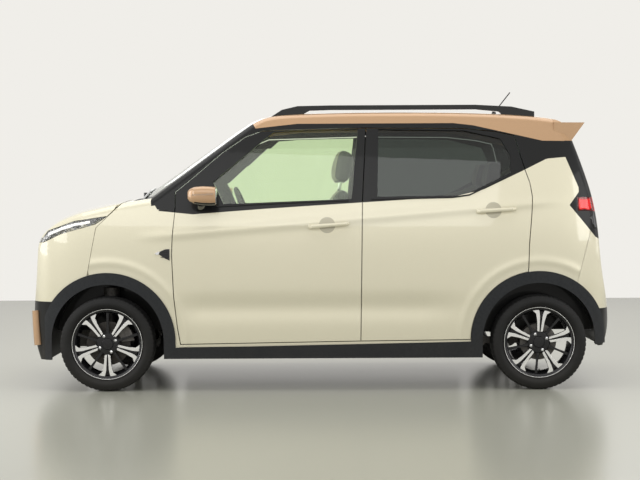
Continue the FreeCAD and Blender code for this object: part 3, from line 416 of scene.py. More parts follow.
def build_crease_group():
    """Height of the pressed lines: shoulder, lower scallop, tail joint, arcs over the wheels."""
    tree, (depth,), end = new_group("Pressed lines", {"Depth": 1.0}, {"Height": 0.0})
    x, _, z = axes_of(tree)
    shoulder = bell(z, x * 0.083 + 0.975, 0.028) * 0.0080 * between(x, -0.95, 0.25, 1.34, 0.2)
    scallop = bell(z, 0.480, 0.065) * -0.0150 * between(x, -0.78, 0.18, 0.74, 0.30)
    joint = bell(x, z * 0.27 + 1.3178, 0.0022) * -0.004 * between(z, 0.62, 0.01, 0.925, 0.01)
    relief = shoulder + scallop + joint
    for axle_x in axles:
        relief += bell(from_axle(x - axle_x, z - arch_z), 0.455, 0.024) * 0.0062
    feed(end, Height=relief * depth)


# materials


def new_material(name, **inputs):
    """Node tree and main shader of a new material."""
    material = materials[name] = bpy.data.materials.new(name)
    material.use_nodes = True
    return material.node_tree, feed(material.node_tree.nodes["Principled BSDF"], **inputs)


def bump(shader, relief, strength, distance):
    node = add_node(shader.id_data, "ShaderNodeBump", Strength=strength, Distance=distance,
                    Height=relief)
    feed(shader, Normal=node.outputs["Normal"])


def paint(name, colour, mask_names=(), metallic=0.15, belt_z=None, low_z=None, creases=False,
          roof_end=False):
    """Metallic lacquer with fine flakes, a faint ripple, dust low down and black areas."""
    settings = bpy.context.scene.hatchback_paint
    tree, shader = new_material(name, Specular_IOR_Level=0.2, Coat_Roughness=0.035)
    flake = add_node(tree, "ShaderNodeSeparateColor", Color=cells(tree, 2600.0)["Color"])
    deep = shade(colour, 0.93)
    tint = mix(Wire(flake.outputs[0]), deep, shade(colour, 1.08))
    tint = mix(noise(tree, 1.6, 2.0) * 0.10, tint, deep)
    masks = []
    if mask_names or roof_end:
        lines = use_group(tree, "Two tone lines", Softness=line_softness)
        masks = [lines[mask_name] for mask_name in mask_names]
    if belt_z is not None:
        masks.append(step(axes_of(tree)[2], belt_z, line_softness))
    if low_z is not None:
        masks.append(1.0 - step(axes_of(tree)[2], low_z, line_softness))
    bare = 1.0
    if masks:
        mask = masks[0]
        for more in masks[1:]:
            mask = calculate("MAXIMUM", mask, more)
        bare = 1.0 - mask
        tint = mix(mask, tint, tuple(settings.trim_colour))
    if roof_end:
        tint = mix(lines["Roof end"], tint, tuple(settings.roof_colour))
    dusty = use_group(tree, "Road dust", Colour=tint, Dust_colour=srgb(150, 140, 120),
                      Amount=settings.dust, Roughness=0.38)
    feed(shader, Base_Color=dusty["Colour"], Roughness=dusty["Roughness"],
         Metallic=bare * metallic, Coat_Weight=bare * 0.85 + 0.15)
    relief = noise(tree, 420.0, 1.0) * 0.00003
    if creases:
        relief += use_group(tree, "Pressed lines", Depth=1.0)["Height"]
    bump(shader, relief, 1.0, 1.0)


def moulded(name, colour, roughness, scale=900.0, strength=0.25, wear=0.0, dust=0.0,
            metallic=0.0):
    """Grained plastic or cast surface."""
    tree, shader = new_material(name, Specular_IOR_Level=0.3, Metallic=metallic)
    grain = use_group(tree, "Moulded grain", Colour=colour, Scale=scale, Roughness=roughness)
    tint, rough = grain["Colour"], grain["Roughness"]
    if wear:
        tint = use_group(tree, "Worn edges", Colour=tint, Bare_colour=shade(colour, 2.2, 0.03),
                         Amount=wear)["Colour"]
    if dust:
        dusty = use_group(tree, "Road dust", Colour=tint, Dust_colour=srgb(128, 120, 104),
                          Amount=dust, Roughness=rough)
        tint, rough = dusty["Colour"], dusty["Roughness"]
    feed(shader, Base_Color=tint, Roughness=rough)
    bump(shader, grain["Height"], strength, 0.0006)
    return tree, shader


def gloss(name, colour, roughness=0.08, metallic=0.0):
    """Smooth black or coloured lacquered plastic, or bright metal, with faint smears."""
    tree, shader = new_material(name, Metallic=metallic)
    smear = noise(tree, 22.0, 5.0)
    feed(shader, Base_Color=mix(smear * 0.14, colour, shade(colour, 1.7, 0.01)),
         Roughness=smear * 0.10 + roughness)
    return tree, shader


def machined(name, colour):
    """Bright turned metal with fine lathe lines."""
    tree, shader = gloss(name, colour, 0.20, 1.0)
    bump(shader, noise(tree, 3000.0, 1.0), 0.06, 0.0004)


def window(name, colour):
    """Tinted glass that lets light past for shadows."""
    tree, shader = new_material(name, Metallic=0.0, Roughness=0.0, IOR=1.45,
                                Transmission_Weight=1.0)
    feed(shader, Base_Color=mix(noise(tree, 7.0, 4.0) * 0.18, colour, shade(colour, 0.86)))
    clear = add_node(tree, "ShaderNodeBsdfTransparent", Color=shade(colour, 0.6, 0.4))
    path = tree.nodes.new("ShaderNodeLightPath")
    mix_shaders(tree.nodes["Material Output"], path.outputs["Is Shadow Ray"], shader, clear)


def lens(name, colour, ripple):
    """Clear or red lamp cover with moulded ribs behind its face."""
    tree, shader = new_material(name, Roughness=0.03, IOR=1.49, Transmission_Weight=0.94)
    rib = add_node(tree, "ShaderNodeTexWave", Scale=60.0, Vector=object_point(tree))
    rib.bands_direction = "DIAGONAL"
    feed(shader, Base_Color=mix(Wire(rib.outputs["Fac"]) * ripple, colour, shade(colour, 0.7)))


def lit(name, colour, strength):
    """Lamp part that glows."""
    tree, shader = gloss(name, colour, 0.2)
    feed(shader, Emission_Color=mix(noise(tree, 90.0, 2.0), colour, shade(colour, 0.8)),
         Emission_Strength=strength)


def fabric(name, colour, thread=900.0):
    """Woven cloth from two crossed thread waves, with a little sheen."""
    tree, shader = new_material(name, Sheen_Weight=0.3)
    threads = []
    for direction in ("X", "Z"):
        wave = add_node(tree, "ShaderNodeTexWave", Scale=thread / 6.28, Distortion=1.2,
                        Detail_Scale=40.0, Vector=object_point(tree))
        wave.bands_direction = direction
        threads.append(Wire(wave.outputs["Fac"]))
    weave = threads[0] * threads[1]
    worn = noise(tree, 6.0, 4.0)
    hue = mix(weave, shade(colour, 0.72), colour)
    feed(shader, Base_Color=mix(worn * 0.25, hue, shade(colour, 1.35)),
         Roughness=clamped(worn * 0.2 + 0.75))
    bump(shader, weave, 0.5, 0.0008)


def tyre_rubber():
    """Rubber with a moulded tread pattern in the tyre's own coordinates."""
    tree, shader = moulded("tyre rubber", srgb(19, 19, 19), 0.68, 500.0, 0.2, dust=0.05)
    uv = tree.nodes.new("ShaderNodeUVMap")
    uv.uv_map = "UVMap"
    around, across, _ = axes_of(tree, uv.outputs[0])
    tread = between(across, 0.36, 0.02, 0.64, 0.02)
    waves = calculate("SINE", around * (2 * math.pi * 90))
    rings = calculate("SINE", across * (2 * math.pi * 34))
    sipes = calculate("GREATER_THAN", waves, 0.75) * tread
    bump(shader, rings * (1.0 - tread) * 0.12 - sipes, 0.55, 0.0016)


def build_materials():
    settings = bpy.context.scene.hatchback_paint
    cabin = bpy.context.scene.hatchback_cabin
    for build in (build_dust_group, build_grain_group, build_wear_group, build_two_tone_group,
                  build_crease_group, build_ring_tree, build_row_tree):
        build()
    sand, copper = tuple(settings.body_colour), tuple(settings.roof_colour)
    paint("sand paint", sand)
    paint("sand paint with pillars", sand, ("Belt", "Garnish", "Wells"), creases=True,
          roof_end=True)
    paint("sand paint with tail", sand, ("Garnish", "Wells"), low_z=up(0.281))
    paint("sand paint with nose", sand, ("Wells",), low_z=up(0.313))
    paint("sand paint with corner", sand, ("Corner", "Wells"), creases=True)
    paint("sand paint under window", sand, belt_z=up(0.690), roof_end=True)
    paint("copper paint", copper, metallic=0.35)
    moulded("arch plastic", tuple(settings.cladding_colour), 0.60, 700.0, 0.3, 0.10, 0.08)
    moulded("underbody coat", srgb(26, 26, 27), 0.8, 260.0, 0.6, 0.1, 0.2)
    moulded("cast metal", srgb(84, 82, 80), 0.6, 500.0, 0.5, 0.35, 0.25, 0.8)
    moulded("rusted disc", srgb(52, 50, 48), 0.45, 800.0, 0.2, 0.3, 0.1, 0.9)
    moulded("cabin plastic", srgb(45, 45, 47), 0.6, 800.0, 0.35)
    moulded("pale cabin plastic", srgb(190, 184, 170), 0.55, 800.0, 0.3)
    moulded("seal rubber", srgb(24, 24, 25), 0.7, 600.0, 0.2)
    moulded("soft grip", srgb(36, 36, 37), 0.5, 1400.0, 0.4)
    gloss("gloss black", srgb(20, 21, 22), 0.06)
    gloss("bright plating", srgb(225, 226, 228), 0.07, 1.0)
    gloss("mirror face", srgb(235, 238, 240), 0.01, 1.0)
    gloss("alloy black", srgb(26, 26, 28), 0.22, 0.3)
    gloss("screen", srgb(12, 14, 18), 0.04)
    gloss("reflector", srgb(158, 160, 165), 0.12, 1.0)
    # Darker, greyer body colour for the handle dishes: painted shade of a recess that the door does
    # not have
    gloss("painted recess shade", srgb(170, 165, 146), 0.25, 0.15)
    machined("machined alloy", srgb(236, 236, 236))
    window("clear glass", (0.87, 0.95, 0.84, 1))
    window("green glass", (0.78, 0.89, 0.68, 1))
    window("privacy glass", (0.15, 0.18, 0.16, 1))
    lens("clear lens", (0.97, 0.98, 0.98, 1), 0.15)
    lens("red lens", (0.86, 0.05, 0.05, 1), 0.4)
    lit("lamp light", (1.0, 0.97, 0.92, 1), 0.9)
    lit("red glow", (0.90, 0.05, 0.06, 1), 0.6)
    fabric("seat fabric", tuple(cabin.fabric_colour))
    fabric("seat insert", tuple(cabin.insert_colour), 700.0)
    tyre_rubber()


node_finish = {
    "sand paint": ("charge_lid",),
    "sand paint with nose": ("front_bumper",),
    "sand paint with pillars": ("body_shell", "front_door_left", "front_door_right",
                                "rear_door_left", "rear_door_right"),
    "sand paint with tail": ("rear_bumper",),
    "sand paint with corner": ("fenders", "hood"),
    "sand paint under window": ("tailgate",),
    "copper paint": ("roof_panel", "spoiler"),
    "arch plastic": ("cladding", "cowl", "grille"),
    "gloss black": ("roof_rails", "antenna", "front_wipers", "rear_wiper"),
    "underbody coat": ("floor_pan", "front_subframe", "battery_pack"),
    "cast metal": ("knuckle_left", "knuckle_right", "rear_axle", "drive_motor"),
    "clear glass": ("windshield",),
    "green glass": ("front_glass_left", "front_glass_right"),
    "privacy glass": ("rear_glass_left", "rear_glass_right", "tailgate_glass"),
    "cabin plastic": ("dashboard", "steering_wheel", "front_seats", "rear_seat"),
}


def finish_nodes():
    """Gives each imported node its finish."""
    for finish, names in node_finish.items():
        for name in names:
            data = nodes[name].data
            data.materials.clear()
            data.materials.append(materials[finish])
    for name, node in nodes.items():
        if not node.data.materials or node.data.materials[0] not in materials.values():
            node.data.materials.clear()
            node.data.materials.append(materials["cabin plastic"])


# mesh tools


def add_loop(bm, points):
    return [bm.verts.new(point) for point in points]


def skin_loops(bm, loops, closed=True, material=0, cap=False):
    """Joins loops of equal count with quads."""
    count = len(loops[0])
    span = count if closed else count - 1
    for first, second in zip(loops, loops[1:]):
        for index in range(span):
            after = (index + 1) % count
            face = bm.faces.new((first[index], first[after], second[after], second[index]))
            face.material_index = material
    if cap:
        for loop in (loops[0], loops[-1]):
            bm.faces.new(loop).material_index = material


def ring_point(angle, radius, out, centre, sy):
    """Point round a wheel, in millimetres: out is measured away from the car on side sy."""
    return centre + Vector((radius * math.cos(angle), sy * out, radius * math.sin(angle))) * MM


def add_revolved(bm, profile, centre, sy, count, material=0, closed=True):
    """Ring turned about the Y axis from a profile in millimetres."""
    loops = [add_loop(bm, [ring_point(angle, r, out, centre, sy) for r, out in profile])
             for angle in turns(count)]
    skin_loops(bm, loops + loops[:1], closed, material)


def add_plate(bm, outline, out0, out1, centre, sy, face_material, turn):
    """Plate facing away from the car, from outline points in millimetres in the wheel's plane."""
    spin = Matrix.Rotation(-turn, 3, "Y")
    back, front = [add_loop(bm, [centre + spin @ Vector((x, sy * out, z)) * MM
                                 for x, z in outline]) for out in (out0, out1)]
    skin_loops(bm, (back, front), True, 1)
    bm.faces.new(front).material_index = face_material
    bm.faces.new(back).material_index = 1


def add_block(bm, low, high, material=0):
    made = bmesh.ops.create_cube(bm, size=1.0)["verts"]
    low, high = Vector(low), Vector(high)
    for vertex in made:
        vertex.co = (low + high) / 2 + vertex.co * (high - low)
    for face in {f for v in made for f in v.link_faces}:
        face.material_index = material


def add_rod(bm, path, radius, sides_count=12, material=0, flat=1.0):
    """Tube along a path of points, capped, optionally flattened upwards."""
    points = [Vector(p) for p in path]
    loops = []
    for index, point in enumerate(points):
        before, after = points[max(0, index - 1)], points[min(len(points) - 1, index + 1)]
        direction = (after - before).normalized()
        across = direction.cross(Vector((0, 0, 1)))
        if across.length < 1e-3:
            across = Vector((0, 1, 0))
        across.normalize()
        lift = across.cross(direction).normalized()
        loops.append(add_loop(bm, [point + across * radius * math.cos(angle)
                                   + lift * radius * flat * math.sin(angle)
                                   for angle in turns(sides_count)]))
    skin_loops(bm, loops, True, material, True)


def add_modifier(piece, name, kind, **settings):
    modifier = piece.modifiers.new(name, kind)
    for key, value in settings.items():
        setattr(modifier, key, value)
    return modifier


def make_piece(name, bm, finishes, body, bevel=0.0, sharp=35, level=0, merge=True):
    """Turns a bmesh into a finished object that rides on a body."""
    if merge:
        bmesh.ops.remove_doubles(bm, verts=bm.verts, dist=1e-6)
    bmesh.ops.recalc_face_normals(bm, faces=bm.faces)
    limit = math.radians(sharp)
    for face in bm.faces:
        face.smooth = True
    for edge in bm.edges:
        if len(edge.link_faces) == 2 and edge.calc_face_angle(0) > limit:
            edge.smooth = False
    mesh = bpy.data.meshes.new(name)
    bm.to_mesh(mesh)
    bm.free()
    for finish in finishes:
        mesh.materials.append(materials[finish])
    piece = bpy.data.objects.new(name, mesh)
    bpy.context.scene.collection.objects.link(piece)
    if bevel:
        add_modifier(piece, "Rounded edges", "BEVEL", width=bevel, segments=2,
                     limit_method="ANGLE", angle_limit=limit, harden_normals=False)
    if level:
        add_modifier(piece, "Smooth", "SUBSURF", levels=level, render_levels=level)
    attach(piece, body)
    return piece


def rod_piece(name, paths, radius, count, finish, body, bevel=0.0, flat=1.0):
    """Finished piece of rods along paths."""
    bm = bmesh.new()
    for path in paths:
        add_rod(bm, path, radius, count, 0, flat)
    make_piece(name, bm, (finish,), body, bevel=bevel)


def geometry_tree(name, sockets):
    """Geometry node tree with named inputs and one mesh out."""
    tree = groups[name] = bpy.data.node_groups.new(name, "GeometryNodeTree")
    for way, names in (("INPUT", {"Geometry": "Geometry", **sockets}),
                       ("OUTPUT", {"Geometry": "Geometry"})):
        for socket, kind in names.items():
            tree.interface.new_socket(socket, in_out=way, socket_type="NodeSocket" + kind)
    return tree, tree.nodes.new("NodeGroupInput").outputs


def finish_tree(tree, given, instances):
    made = add_node(tree, "GeometryNodeRealizeInstances", Geometry=instances)
    coloured = add_node(tree, "GeometryNodeSetMaterial", Geometry=made.outputs[0],
                        Material=given["Material"])
    add_node(tree, "NodeGroupOutput", Geometry=coloured.outputs[0])


def build_ring_tree():
    """Cones set in a ring round the Y axis: nuts on a wheel, bolts on a flange."""
    tree, given = geometry_tree("Ring of nuts", {
        "Count": "Int", "Ring radius": "Float", "Turn": "Vector", "Centre": "Vector",
        "Sides": "Int", "Top radius": "Float", "Foot radius": "Float", "Depth": "Float",
        "Material": "Material"})
    ring = add_node(tree, "GeometryNodeMeshCircle", Vertices=given["Count"],
                    Radius=given["Ring radius"])
    nut = add_node(tree, "GeometryNodeMeshCone", Vertices=given["Sides"],
                   Radius_Top=given["Top radius"], Radius_Bottom=given["Foot radius"],
                   Depth=given["Depth"])
    set_round = add_node(tree, "GeometryNodeInstanceOnPoints", Points=ring.outputs["Mesh"],
                         Instance=nut.outputs["Mesh"])
    turned = add_node(tree, "GeometryNodeTransform", Geometry=set_round.outputs[0],
                      Translation=given["Centre"], Rotation=given["Turn"])
    finish_tree(tree, given, turned.outputs[0])


def build_row_tree():
    """Blocks spaced along a path: stitches, bolts and clips."""
    tree, given = geometry_tree("Row of pieces", {
        "Count": "Int", "Size": "Vector", "Material": "Material"})
    curve = add_node(tree, "GeometryNodeMeshToCurve", Mesh=given["Geometry"])
    points = add_node(tree, "GeometryNodeCurveToPoints", Curve=curve.outputs[0],
                      Count=given["Count"])
    cube = add_node(tree, "GeometryNodeMeshCube", Size=given["Size"])
    spaced = add_node(tree, "GeometryNodeInstanceOnPoints", Points=points.outputs["Points"],
                      Instance=cube.outputs["Mesh"], Rotation=points.outputs["Rotation"])
    finish_tree(tree, given, spaced.outputs[0])


def plain_mesh(piece):
    """New mesh of an object with its modifiers carried out."""
    graph = bpy.context.evaluated_depsgraph_get()
    return bpy.data.meshes.new_from_object(piece.evaluated_get(graph), depsgraph=graph)


def evaluated_mesh(name, group, base, values):
    """Plain mesh that a node group makes from a base mesh."""
    holder = bpy.data.objects.new(name, base)
    bpy.context.scene.collection.objects.link(holder)
    modifier = add_modifier(holder, "Pieces", "NODES", node_group=groups[group])
    for item in modifier.node_group.interface.items_tree:
        if item.in_out == "INPUT" and item.name in values:
            modifier[item.identifier] = values[item.name]
    mesh = plain_mesh(holder)
    bpy.data.objects.remove(holder)
    return mesh


def join_meshes(name, meshes, finish, body):
    """One finished object of several plain meshes with one finish."""
    bm = bmesh.new()
    for mesh in meshes:
        bm.from_mesh(mesh)
    for face in bm.faces:
        face.material_index = 0
    make_piece(name, bm, (finish,), body, merge=False)


def path_mesh(points, closed=False):
    mesh = bpy.data.meshes.new("path")
    edges = [(index, index + 1) for index in range(len(points) - 1)]
    if closed:
        edges.append((len(points) - 1, 0))
    mesh.from_pydata([tuple(point) for point in points], edges, [])
    return mesh


def tree_of(*names):
    """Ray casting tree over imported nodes."""
    verts, faces = [], []
    for name in names:
        data = nodes[name].data
        start = len(verts)
        verts += [v.co.copy() for v in data.vertices]
        faces += [tuple(start + i for i in p.vertices) for p in data.polygons]
    return BVHTree.FromPolygons(verts, faces)


def skin_path(tree, starts, away, rise):
    """Points a rise above the skin, seen against a direction, without those that miss it."""
    path = []
    for start in starts:
        place, normal, _, _ = tree.ray_cast(start, -away)
        if place is not None:
            path.append(place + normal * (rise if normal.dot(away) > 0 else -rise))
    return path


def side_path(tree, places, sy, rise=0.0):
    """Points over the skin of one side at x and z places."""
    return skin_path(tree, [Vector((x, sy * 2, z)) for x, z in places], Vector((0, sy, 0)), rise)


def nose_path(tree, places, rise):
    """Points over the skin of the nose at y and z places."""
    return skin_path(tree, [Vector((-3, y, z)) for y, z in places], Vector((-1, 0, 0)), rise)


def add_patch(bm, tree, outline, sy, lift, depth, material=0, divide=1):
    """Plate over the side skin whose rim follows the skin. Outline points are x and z."""
    ring = fine(outline + outline[:1], divide)
    mid_x, mid_z = [sum(values) / len(ring) for values in zip(*ring)]
    loops = []
    for share, rise in ((1.0, -depth), (1.0, lift * 0.6), (0.93, lift), (0.5, lift)):
        row = [(mid_x + (x - mid_x) * share, mid_z + (z - mid_z) * share) for x, z in ring]
        loops.append(add_loop(bm, side_path(tree, row, sy, rise)))
    skin_loops(bm, loops, True, material)
    tip = bm.verts.new(side_path(tree, [(mid_x, mid_z)], sy, lift)[0])
    last = loops[-1]
    for first, second in zip(last, last[1:] + last[:1]):
        bm.faces.new((first, second, tip)).material_index = material
    bm.faces.new(loops[0]).material_index = material


# wheels and tyres: profiles are radius and distance outwards, outlines are x and z, in millimetres

barrel = ((204, 70), (204, 66), (197, 62.5), (191, 55), (188, 46), (183, 30), (176, 8),
          (180, -40), (190, -54), (192, -62), (203, -66), (203, -70), (188, -67),
          (174, -42), (170, 6), (176, 30), (181, 46), (184, 58), (190, 64.5), (198, 69))
rim_lip = ((201, 70.2), (203.6, 70.6), (203.6, 71.4), (201, 71.2))
hub_middle = 0.001
hub = ((hub_middle, 18), (62, 18), (66, 30), (66, 42), (60, 48), (40, 50), (34, 50), (33, 53),
       (30, 56.5), (hub_middle, 58))
spoke = ((60, 3.5), (150, 7.5), (180, 14), (197, 26), (192, 60), (183, 59), (163, 31),
         (120, 21), (64, 16))
spoke_floor = ((50, 14), (50, -14), (150, -26), (178, -24), (178, 24), (150, 26))
web = ((50, -9), (120, -5.5), (184, -8), (184, 8), (120, 5.5), (50, 9))
tyre_wall = ((191, 50), (196, 62), (205, 64), (212, 71), (222, 79), (232, 82), (243, 81),
             (254, 77), (261, 74.5))
tread_drops = ((5.5, 71), (2.0, 65), (0.9, 50), (0.6, 42), (7, 41), (7, 33), (0.3, 32), (0, 14),
               (7, 13), (7, 5), (0, 4))
tyre_inside = ((200, -40), (236, -60), (252, -40), (252, 40), (236, 60), (200, 40))
nut_cones = ((0.046, 0.0090, 0.0090, 0.0085), (0.0545, 0.0082, 0.0050, 0.0025))
nut_ring, nut_turn = 0.050, math.radians(65)
rim_steps, hub_steps, disc_steps = 120, 60, 72
shoulder_out, shoulder_radius, shoulder_notch = 45, 255, 3.2
brake_disc = ((70, 6.2), (126, 6.2), (126.2, 6.6), (120, 7.2), (74, 7.2), (70, 6.8))


def make_wheel(corner, sy, settings):
    """Alloy with machined double spokes, dark webs between them, nuts, a plain cap and a valve."""
    centre = centre_of("rim_" + corner)
    body = "wheel_" + corner
    bm = bmesh.new()
    add_revolved(bm, barrel, centre, sy, rim_steps, 1)
    add_revolved(bm, rim_lip, centre, sy, rim_steps, 0)
    first_turn = math.radians(270 if corner.startswith("front") else 85)
    for turn in turns(settings.pairs):
        turn += first_turn
        for flip in (1, -1):
            add_plate(bm, [(x, z * flip) for x, z in spoke], 40, 60, centre, sy, 0, turn)
        add_plate(bm, spoke_floor, 36, 47, centre, sy, 1, turn)
        add_plate(bm, web, 30, 45, centre, sy, 1, turn + math.pi / settings.pairs)
    add_revolved(bm, hub, centre, sy, hub_steps, 1, closed=False)
    valve = centre + Vector((0, 0, -0.168))
    add_rod(bm, [valve + Vector((0, sy * 0.045, 0)), valve + Vector((0, sy * 0.064, 0.012))],
            0.0035, 10, 1)
    piece = make_piece(body, bm, ("machined alloy", "alloy black"), body, bevel=0.0008)
    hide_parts("rim_" + corner)
    tilt = math.radians(90 if sy < 0 else -90)
    meshes = []
    for out, foot, top, depth in nut_cones:
        meshes.append(evaluated_mesh("nuts", "Ring of nuts", bpy.data.meshes.new("empty"), {
            "Count": settings.lugs, "Ring radius": nut_ring, "Turn": (tilt, nut_turn, 0.0),
            "Centre": tuple(centre + Vector((0, sy * out, 0))), "Sides": 6, "Top radius": top,
            "Foot radius": foot, "Depth": depth, "Material": materials["bright plating"]}))
    join_meshes("nuts_" + corner, meshes, "bright plating", body)


def make_tyre(corner, sy, settings):
    """Tyre with four grooves, shoulder blocks and ringed walls."""
    centre = centre_of("tyre_" + corner)
    profile = list(tyre_wall) + [(tyre_radius / MM - drop, out) for drop, out in tread_drops]
    profile += [(r, -out) for r, out in reversed(profile)]
    section = profile + list(tyre_inside)
    count = settings.sipes * 4
    bm = bmesh.new()
    loops = []
    for index, angle in enumerate(turns(count)):
        row = []
        for number, (radius, out) in enumerate(section):
            shoulder = (number < len(profile) and abs(out) > shoulder_out
                        and radius > shoulder_radius)
            if shoulder and index % 4 == 0:
                radius -= shoulder_notch
            row.append(ring_point(angle, radius, out, centre, sy))
        loops.append(add_loop(bm, row))
    loops.append(loops[0])
    layer = bm.loops.layers.uv.new("UVMap")
    for index, (first, second) in enumerate(zip(loops, loops[1:])):
        u0, u1 = index / count, (index + 1) / count
        for number in range(len(section)):
            after = (number + 1) % len(section)
            face = bm.faces.new((first[number], first[after], second[after], second[number]))
            v0, v1 = number / (len(profile) - 1), (number + 1) / (len(profile) - 1)
            for loop, uv in zip(face.loops, ((u0, v0), (u0, v1), (u1, v1), (u1, v0))):
                loop[layer].uv = uv
    piece = make_piece("tyre_cover_" + corner, bm, ("tyre rubber",), "wheel_" + corner,
                       sharp=40)
    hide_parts("tyre_" + corner)


def make_wheels():
    settings = bpy.context.scene.hatchback_wheels
    for corner, sy in corners:
        make_wheel(corner, sy, settings)
        make_tyre(corner, sy, settings)


def make_brakes():
    """Faces of the front brake discs."""
    for side, sy in sides:
        bm = bmesh.new()
        add_revolved(bm, brake_disc, centre_of("rim_front_" + side), sy, disc_steps)
        make_piece("brake_face_" + side, bm, ("rusted disc",), "knuckle_" + side)


def make_battery_bolts():
    """Bolt heads along both edges of the battery pack's underside."""
    low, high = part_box("battery_pack")
    meshes = []
    for sy in (-1, 1):
        line = [(x, sy * (high.y - 0.035), low.z - 0.003) for x in (low.x + 0.06, high.x - 0.06)]
        meshes.append(evaluated_mesh("bolts", "Row of pieces", path_mesh(line), {
            "Count": 9, "Size": (0.010, 0.016, 0.016), "Material": materials["bright plating"]}))
    join_meshes("battery_bolts", meshes, "bright plating", "car")


# lamps

lamp_units = ((-0.118, 0.5525), (-0.096, 0.5625), (-0.074, 0.5715))
lamp_wall = 0.003
skin_facing = 0.30
lamp_strip = ((-0.138, 0.5475), (-0.106, 0.5672), (-0.075, 0.5812), (-0.030, 0.5925))


def outer_skin(name, inner_point, sy):
    """Skin faces of one side's packed lamp that look away from inner_point, merged."""
    bm = bmesh.new()
    bm.from_mesh(nodes[name].data)
    bmesh.ops.remove_doubles(bm, verts=bm.verts, dist=1e-7)
    bm.normal_update()
    drop = []
    for face in bm.faces:
        middle = face.calc_center_median()
        away = (middle - Vector(inner_point)).normalized()
        if middle.y * sy < 0 or face.normal.dot(away) < skin_facing:
            drop.append(face)
    bmesh.ops.delete(bm, geom=drop, context="FACES")
    loose = [v for v in bm.verts if not v.link_faces]
    bmesh.ops.delete(bm, geom=loose, context="VERTS")
    return bm


def make_lamp_skin(name, bm, lift, finishes):
    """Lamp piece from a skin moved along its normals."""
    for vertex in bm.verts:
        vertex.co += vertex.normal * lift
    piece = make_piece(name, bm, finishes, "car")
    add_modifier(piece, "Wall", "SOLIDIFY", thickness=lamp_wall, offset=-1)


def make_headlamps():
    """Clear cover over a black bowl, three bright lens units and a lit strip."""
    tree = tree_of("headlamps")
    for side, sy in sides:
        point = (-1.25, 0.35 * sy, 0.80)
        for name, lift, finish in (("lamp_cover_", 0.0002, "clear lens"),
                                   ("lamp_bowl_", -0.012, "gloss black")):
            bm = outer_skin("headlamps", point, sy)
            make_lamp_skin(name + side, bm, lift, (finish,))
        bm = bmesh.new()
        for spot in side_path(tree, placed(lamp_units), sy, -0.010):
            bmesh.ops.create_uvsphere(bm, u_segments=24, v_segments=16, radius=0.0085,
                                      matrix=Matrix.Translation(spot))
        make_piece("lamp_units_" + side, bm, ("reflector",), "car")
        lines = [placed([(a, b + lift) for a, b in fine(lamp_strip, 5)]) for lift in (0.0, 0.0045)]
        rod_piece("lamp_strip_" + side, [side_path(tree, line, sy, -0.007) for line in lines],
                  0.0035, 12, "lamp light", "car")
    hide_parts("headlamps")


def make_tail_lamps():
    """Red cover over a lit bowl, above a black corner piece."""
    foot = up(0.621)
    for side, sy in sides:
        point = (1.40, 0.30 * sy, 0.98)
        bm = outer_skin("tail_lamps", point, sy)
        bmesh.ops.bisect_plane(bm, geom=bm.verts[:] + bm.edges[:] + bm.faces[:],
                               plane_co=(0, 0, foot), plane_no=(0, 0, 1))
        for face in bm.faces:
            face.material_index = int(face.calc_center_median().z < foot)
        make_lamp_skin("tail_cover_" + side, bm, 0.0, ("red lens", "gloss black"))
        make_lamp_skin("tail_bowl_" + side, outer_skin("tail_lamps", point, sy), -0.018,
                       ("red glow",))
    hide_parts("tail_lamps")


# body details

handles = (("front_door_", -0.068, 0.167, 0.947, 0.964, 0.040, 0.9555),
           ("rear_door_", 0.902, 1.130, 1.032, 1.044, 1.000, 1.0375))
vent = ((0.117, 0.483), (0.136, 0.496), (0.1465, 0.497), (0.1465, 0.457), (0.136, 0.464))
vent_tip = ((0.1115, 0.481), (0.122, 0.4895), (0.124, 0.487), (0.122, 0.478), (0.1185, 0.476))
window_feet = {
    "front_door_": ((0.255, 0.650), (0.366, 0.6585), (0.470, 0.6650), (0.578, 0.6700)),
    "rear_door_": ((0.612, 0.673), (0.700, 0.6760), (0.800, 0.6790), (0.840, 0.687),
                   (0.880, 0.7155), (0.937, 0.7580)),
}


def make_handles():
    """Bar handle over a round dish on each side door; the dish is a flat patch of darker body
    colour, painted shade standing in for a recess.
    """
    thick = 0.0075
    for door, x0, x1, z0, z1, dish_x, dish_z in handles:
        for side, sy in sides:
            tree = tree_of(door + side)
            bm = bmesh.new()
            dish = [(dish_x + 0.047 * math.cos(turn), dish_z + 0.046 * math.sin(turn))
                    for turn in turns(40)]
            # Flat dish in the darker finish: painted shade in place of the handle recess
            add_patch(bm, tree, dish, sy, 0.0006, 0.001, 1)
            loops = []
            for share in even(24):
                place, = side_path(tree, [(x0 + (x1 - x0) * share, z0 + (z1 - z0) * share)], sy)
                rise = 0.030 * min(1, math.sin(math.pi * share) * 3.2 + 0.12) - thick * 0.2
                tall = 0.0125 - 0.0035 * share
                loops.append(add_loop(bm, [place + Vector((0, sy * (rise + thick * out), tall * z))
                                           for out, z in soft_square(12, 0.7)]))
            skin_loops(bm, loops, True, 0, True)
            make_piece("handle_" + door + side, bm, ("sand paint", "painted recess shade"), door + side)


def make_vents():
    """Black three cornered vent with a bright tip behind each front wheel."""
    tree = tree_of("fenders")
    for side, sy in sides:
        bm = bmesh.new()
        add_patch(bm, tree, placed(vent), sy, 0.0045, 0.002, 0, 4)
        add_patch(bm, tree, placed(vent_tip), sy, 0.006, 0.002, 1, 3)
        for row in range(3):
            ends = ((0.126 + row * 0.001, 0.468 + row * 0.009), (0.144, 0.468 + row * 0.009))
            line = placed(fine(ends, 5) + [ends[1]])
            add_rod(bm, side_path(tree, line, sy, 0.006), 0.0016, 8)
        make_piece("fender_vent_" + side, bm, ("gloss black", "bright plating"), "car")


def make_window_trim():
    """Black rubber strips along the foot of each door window."""
    for door, foot in window_feet.items():
        line = [(x, z - 0.012) for x, z in placed(fine(foot, 6))]
        for side, sy in sides:
            path = side_path(tree_of(door + side), line, sy, 0.0015)
            rod_piece("window_strip_" + door + side, [path], 0.0045, 8, "seal rubber",
                      door + side)


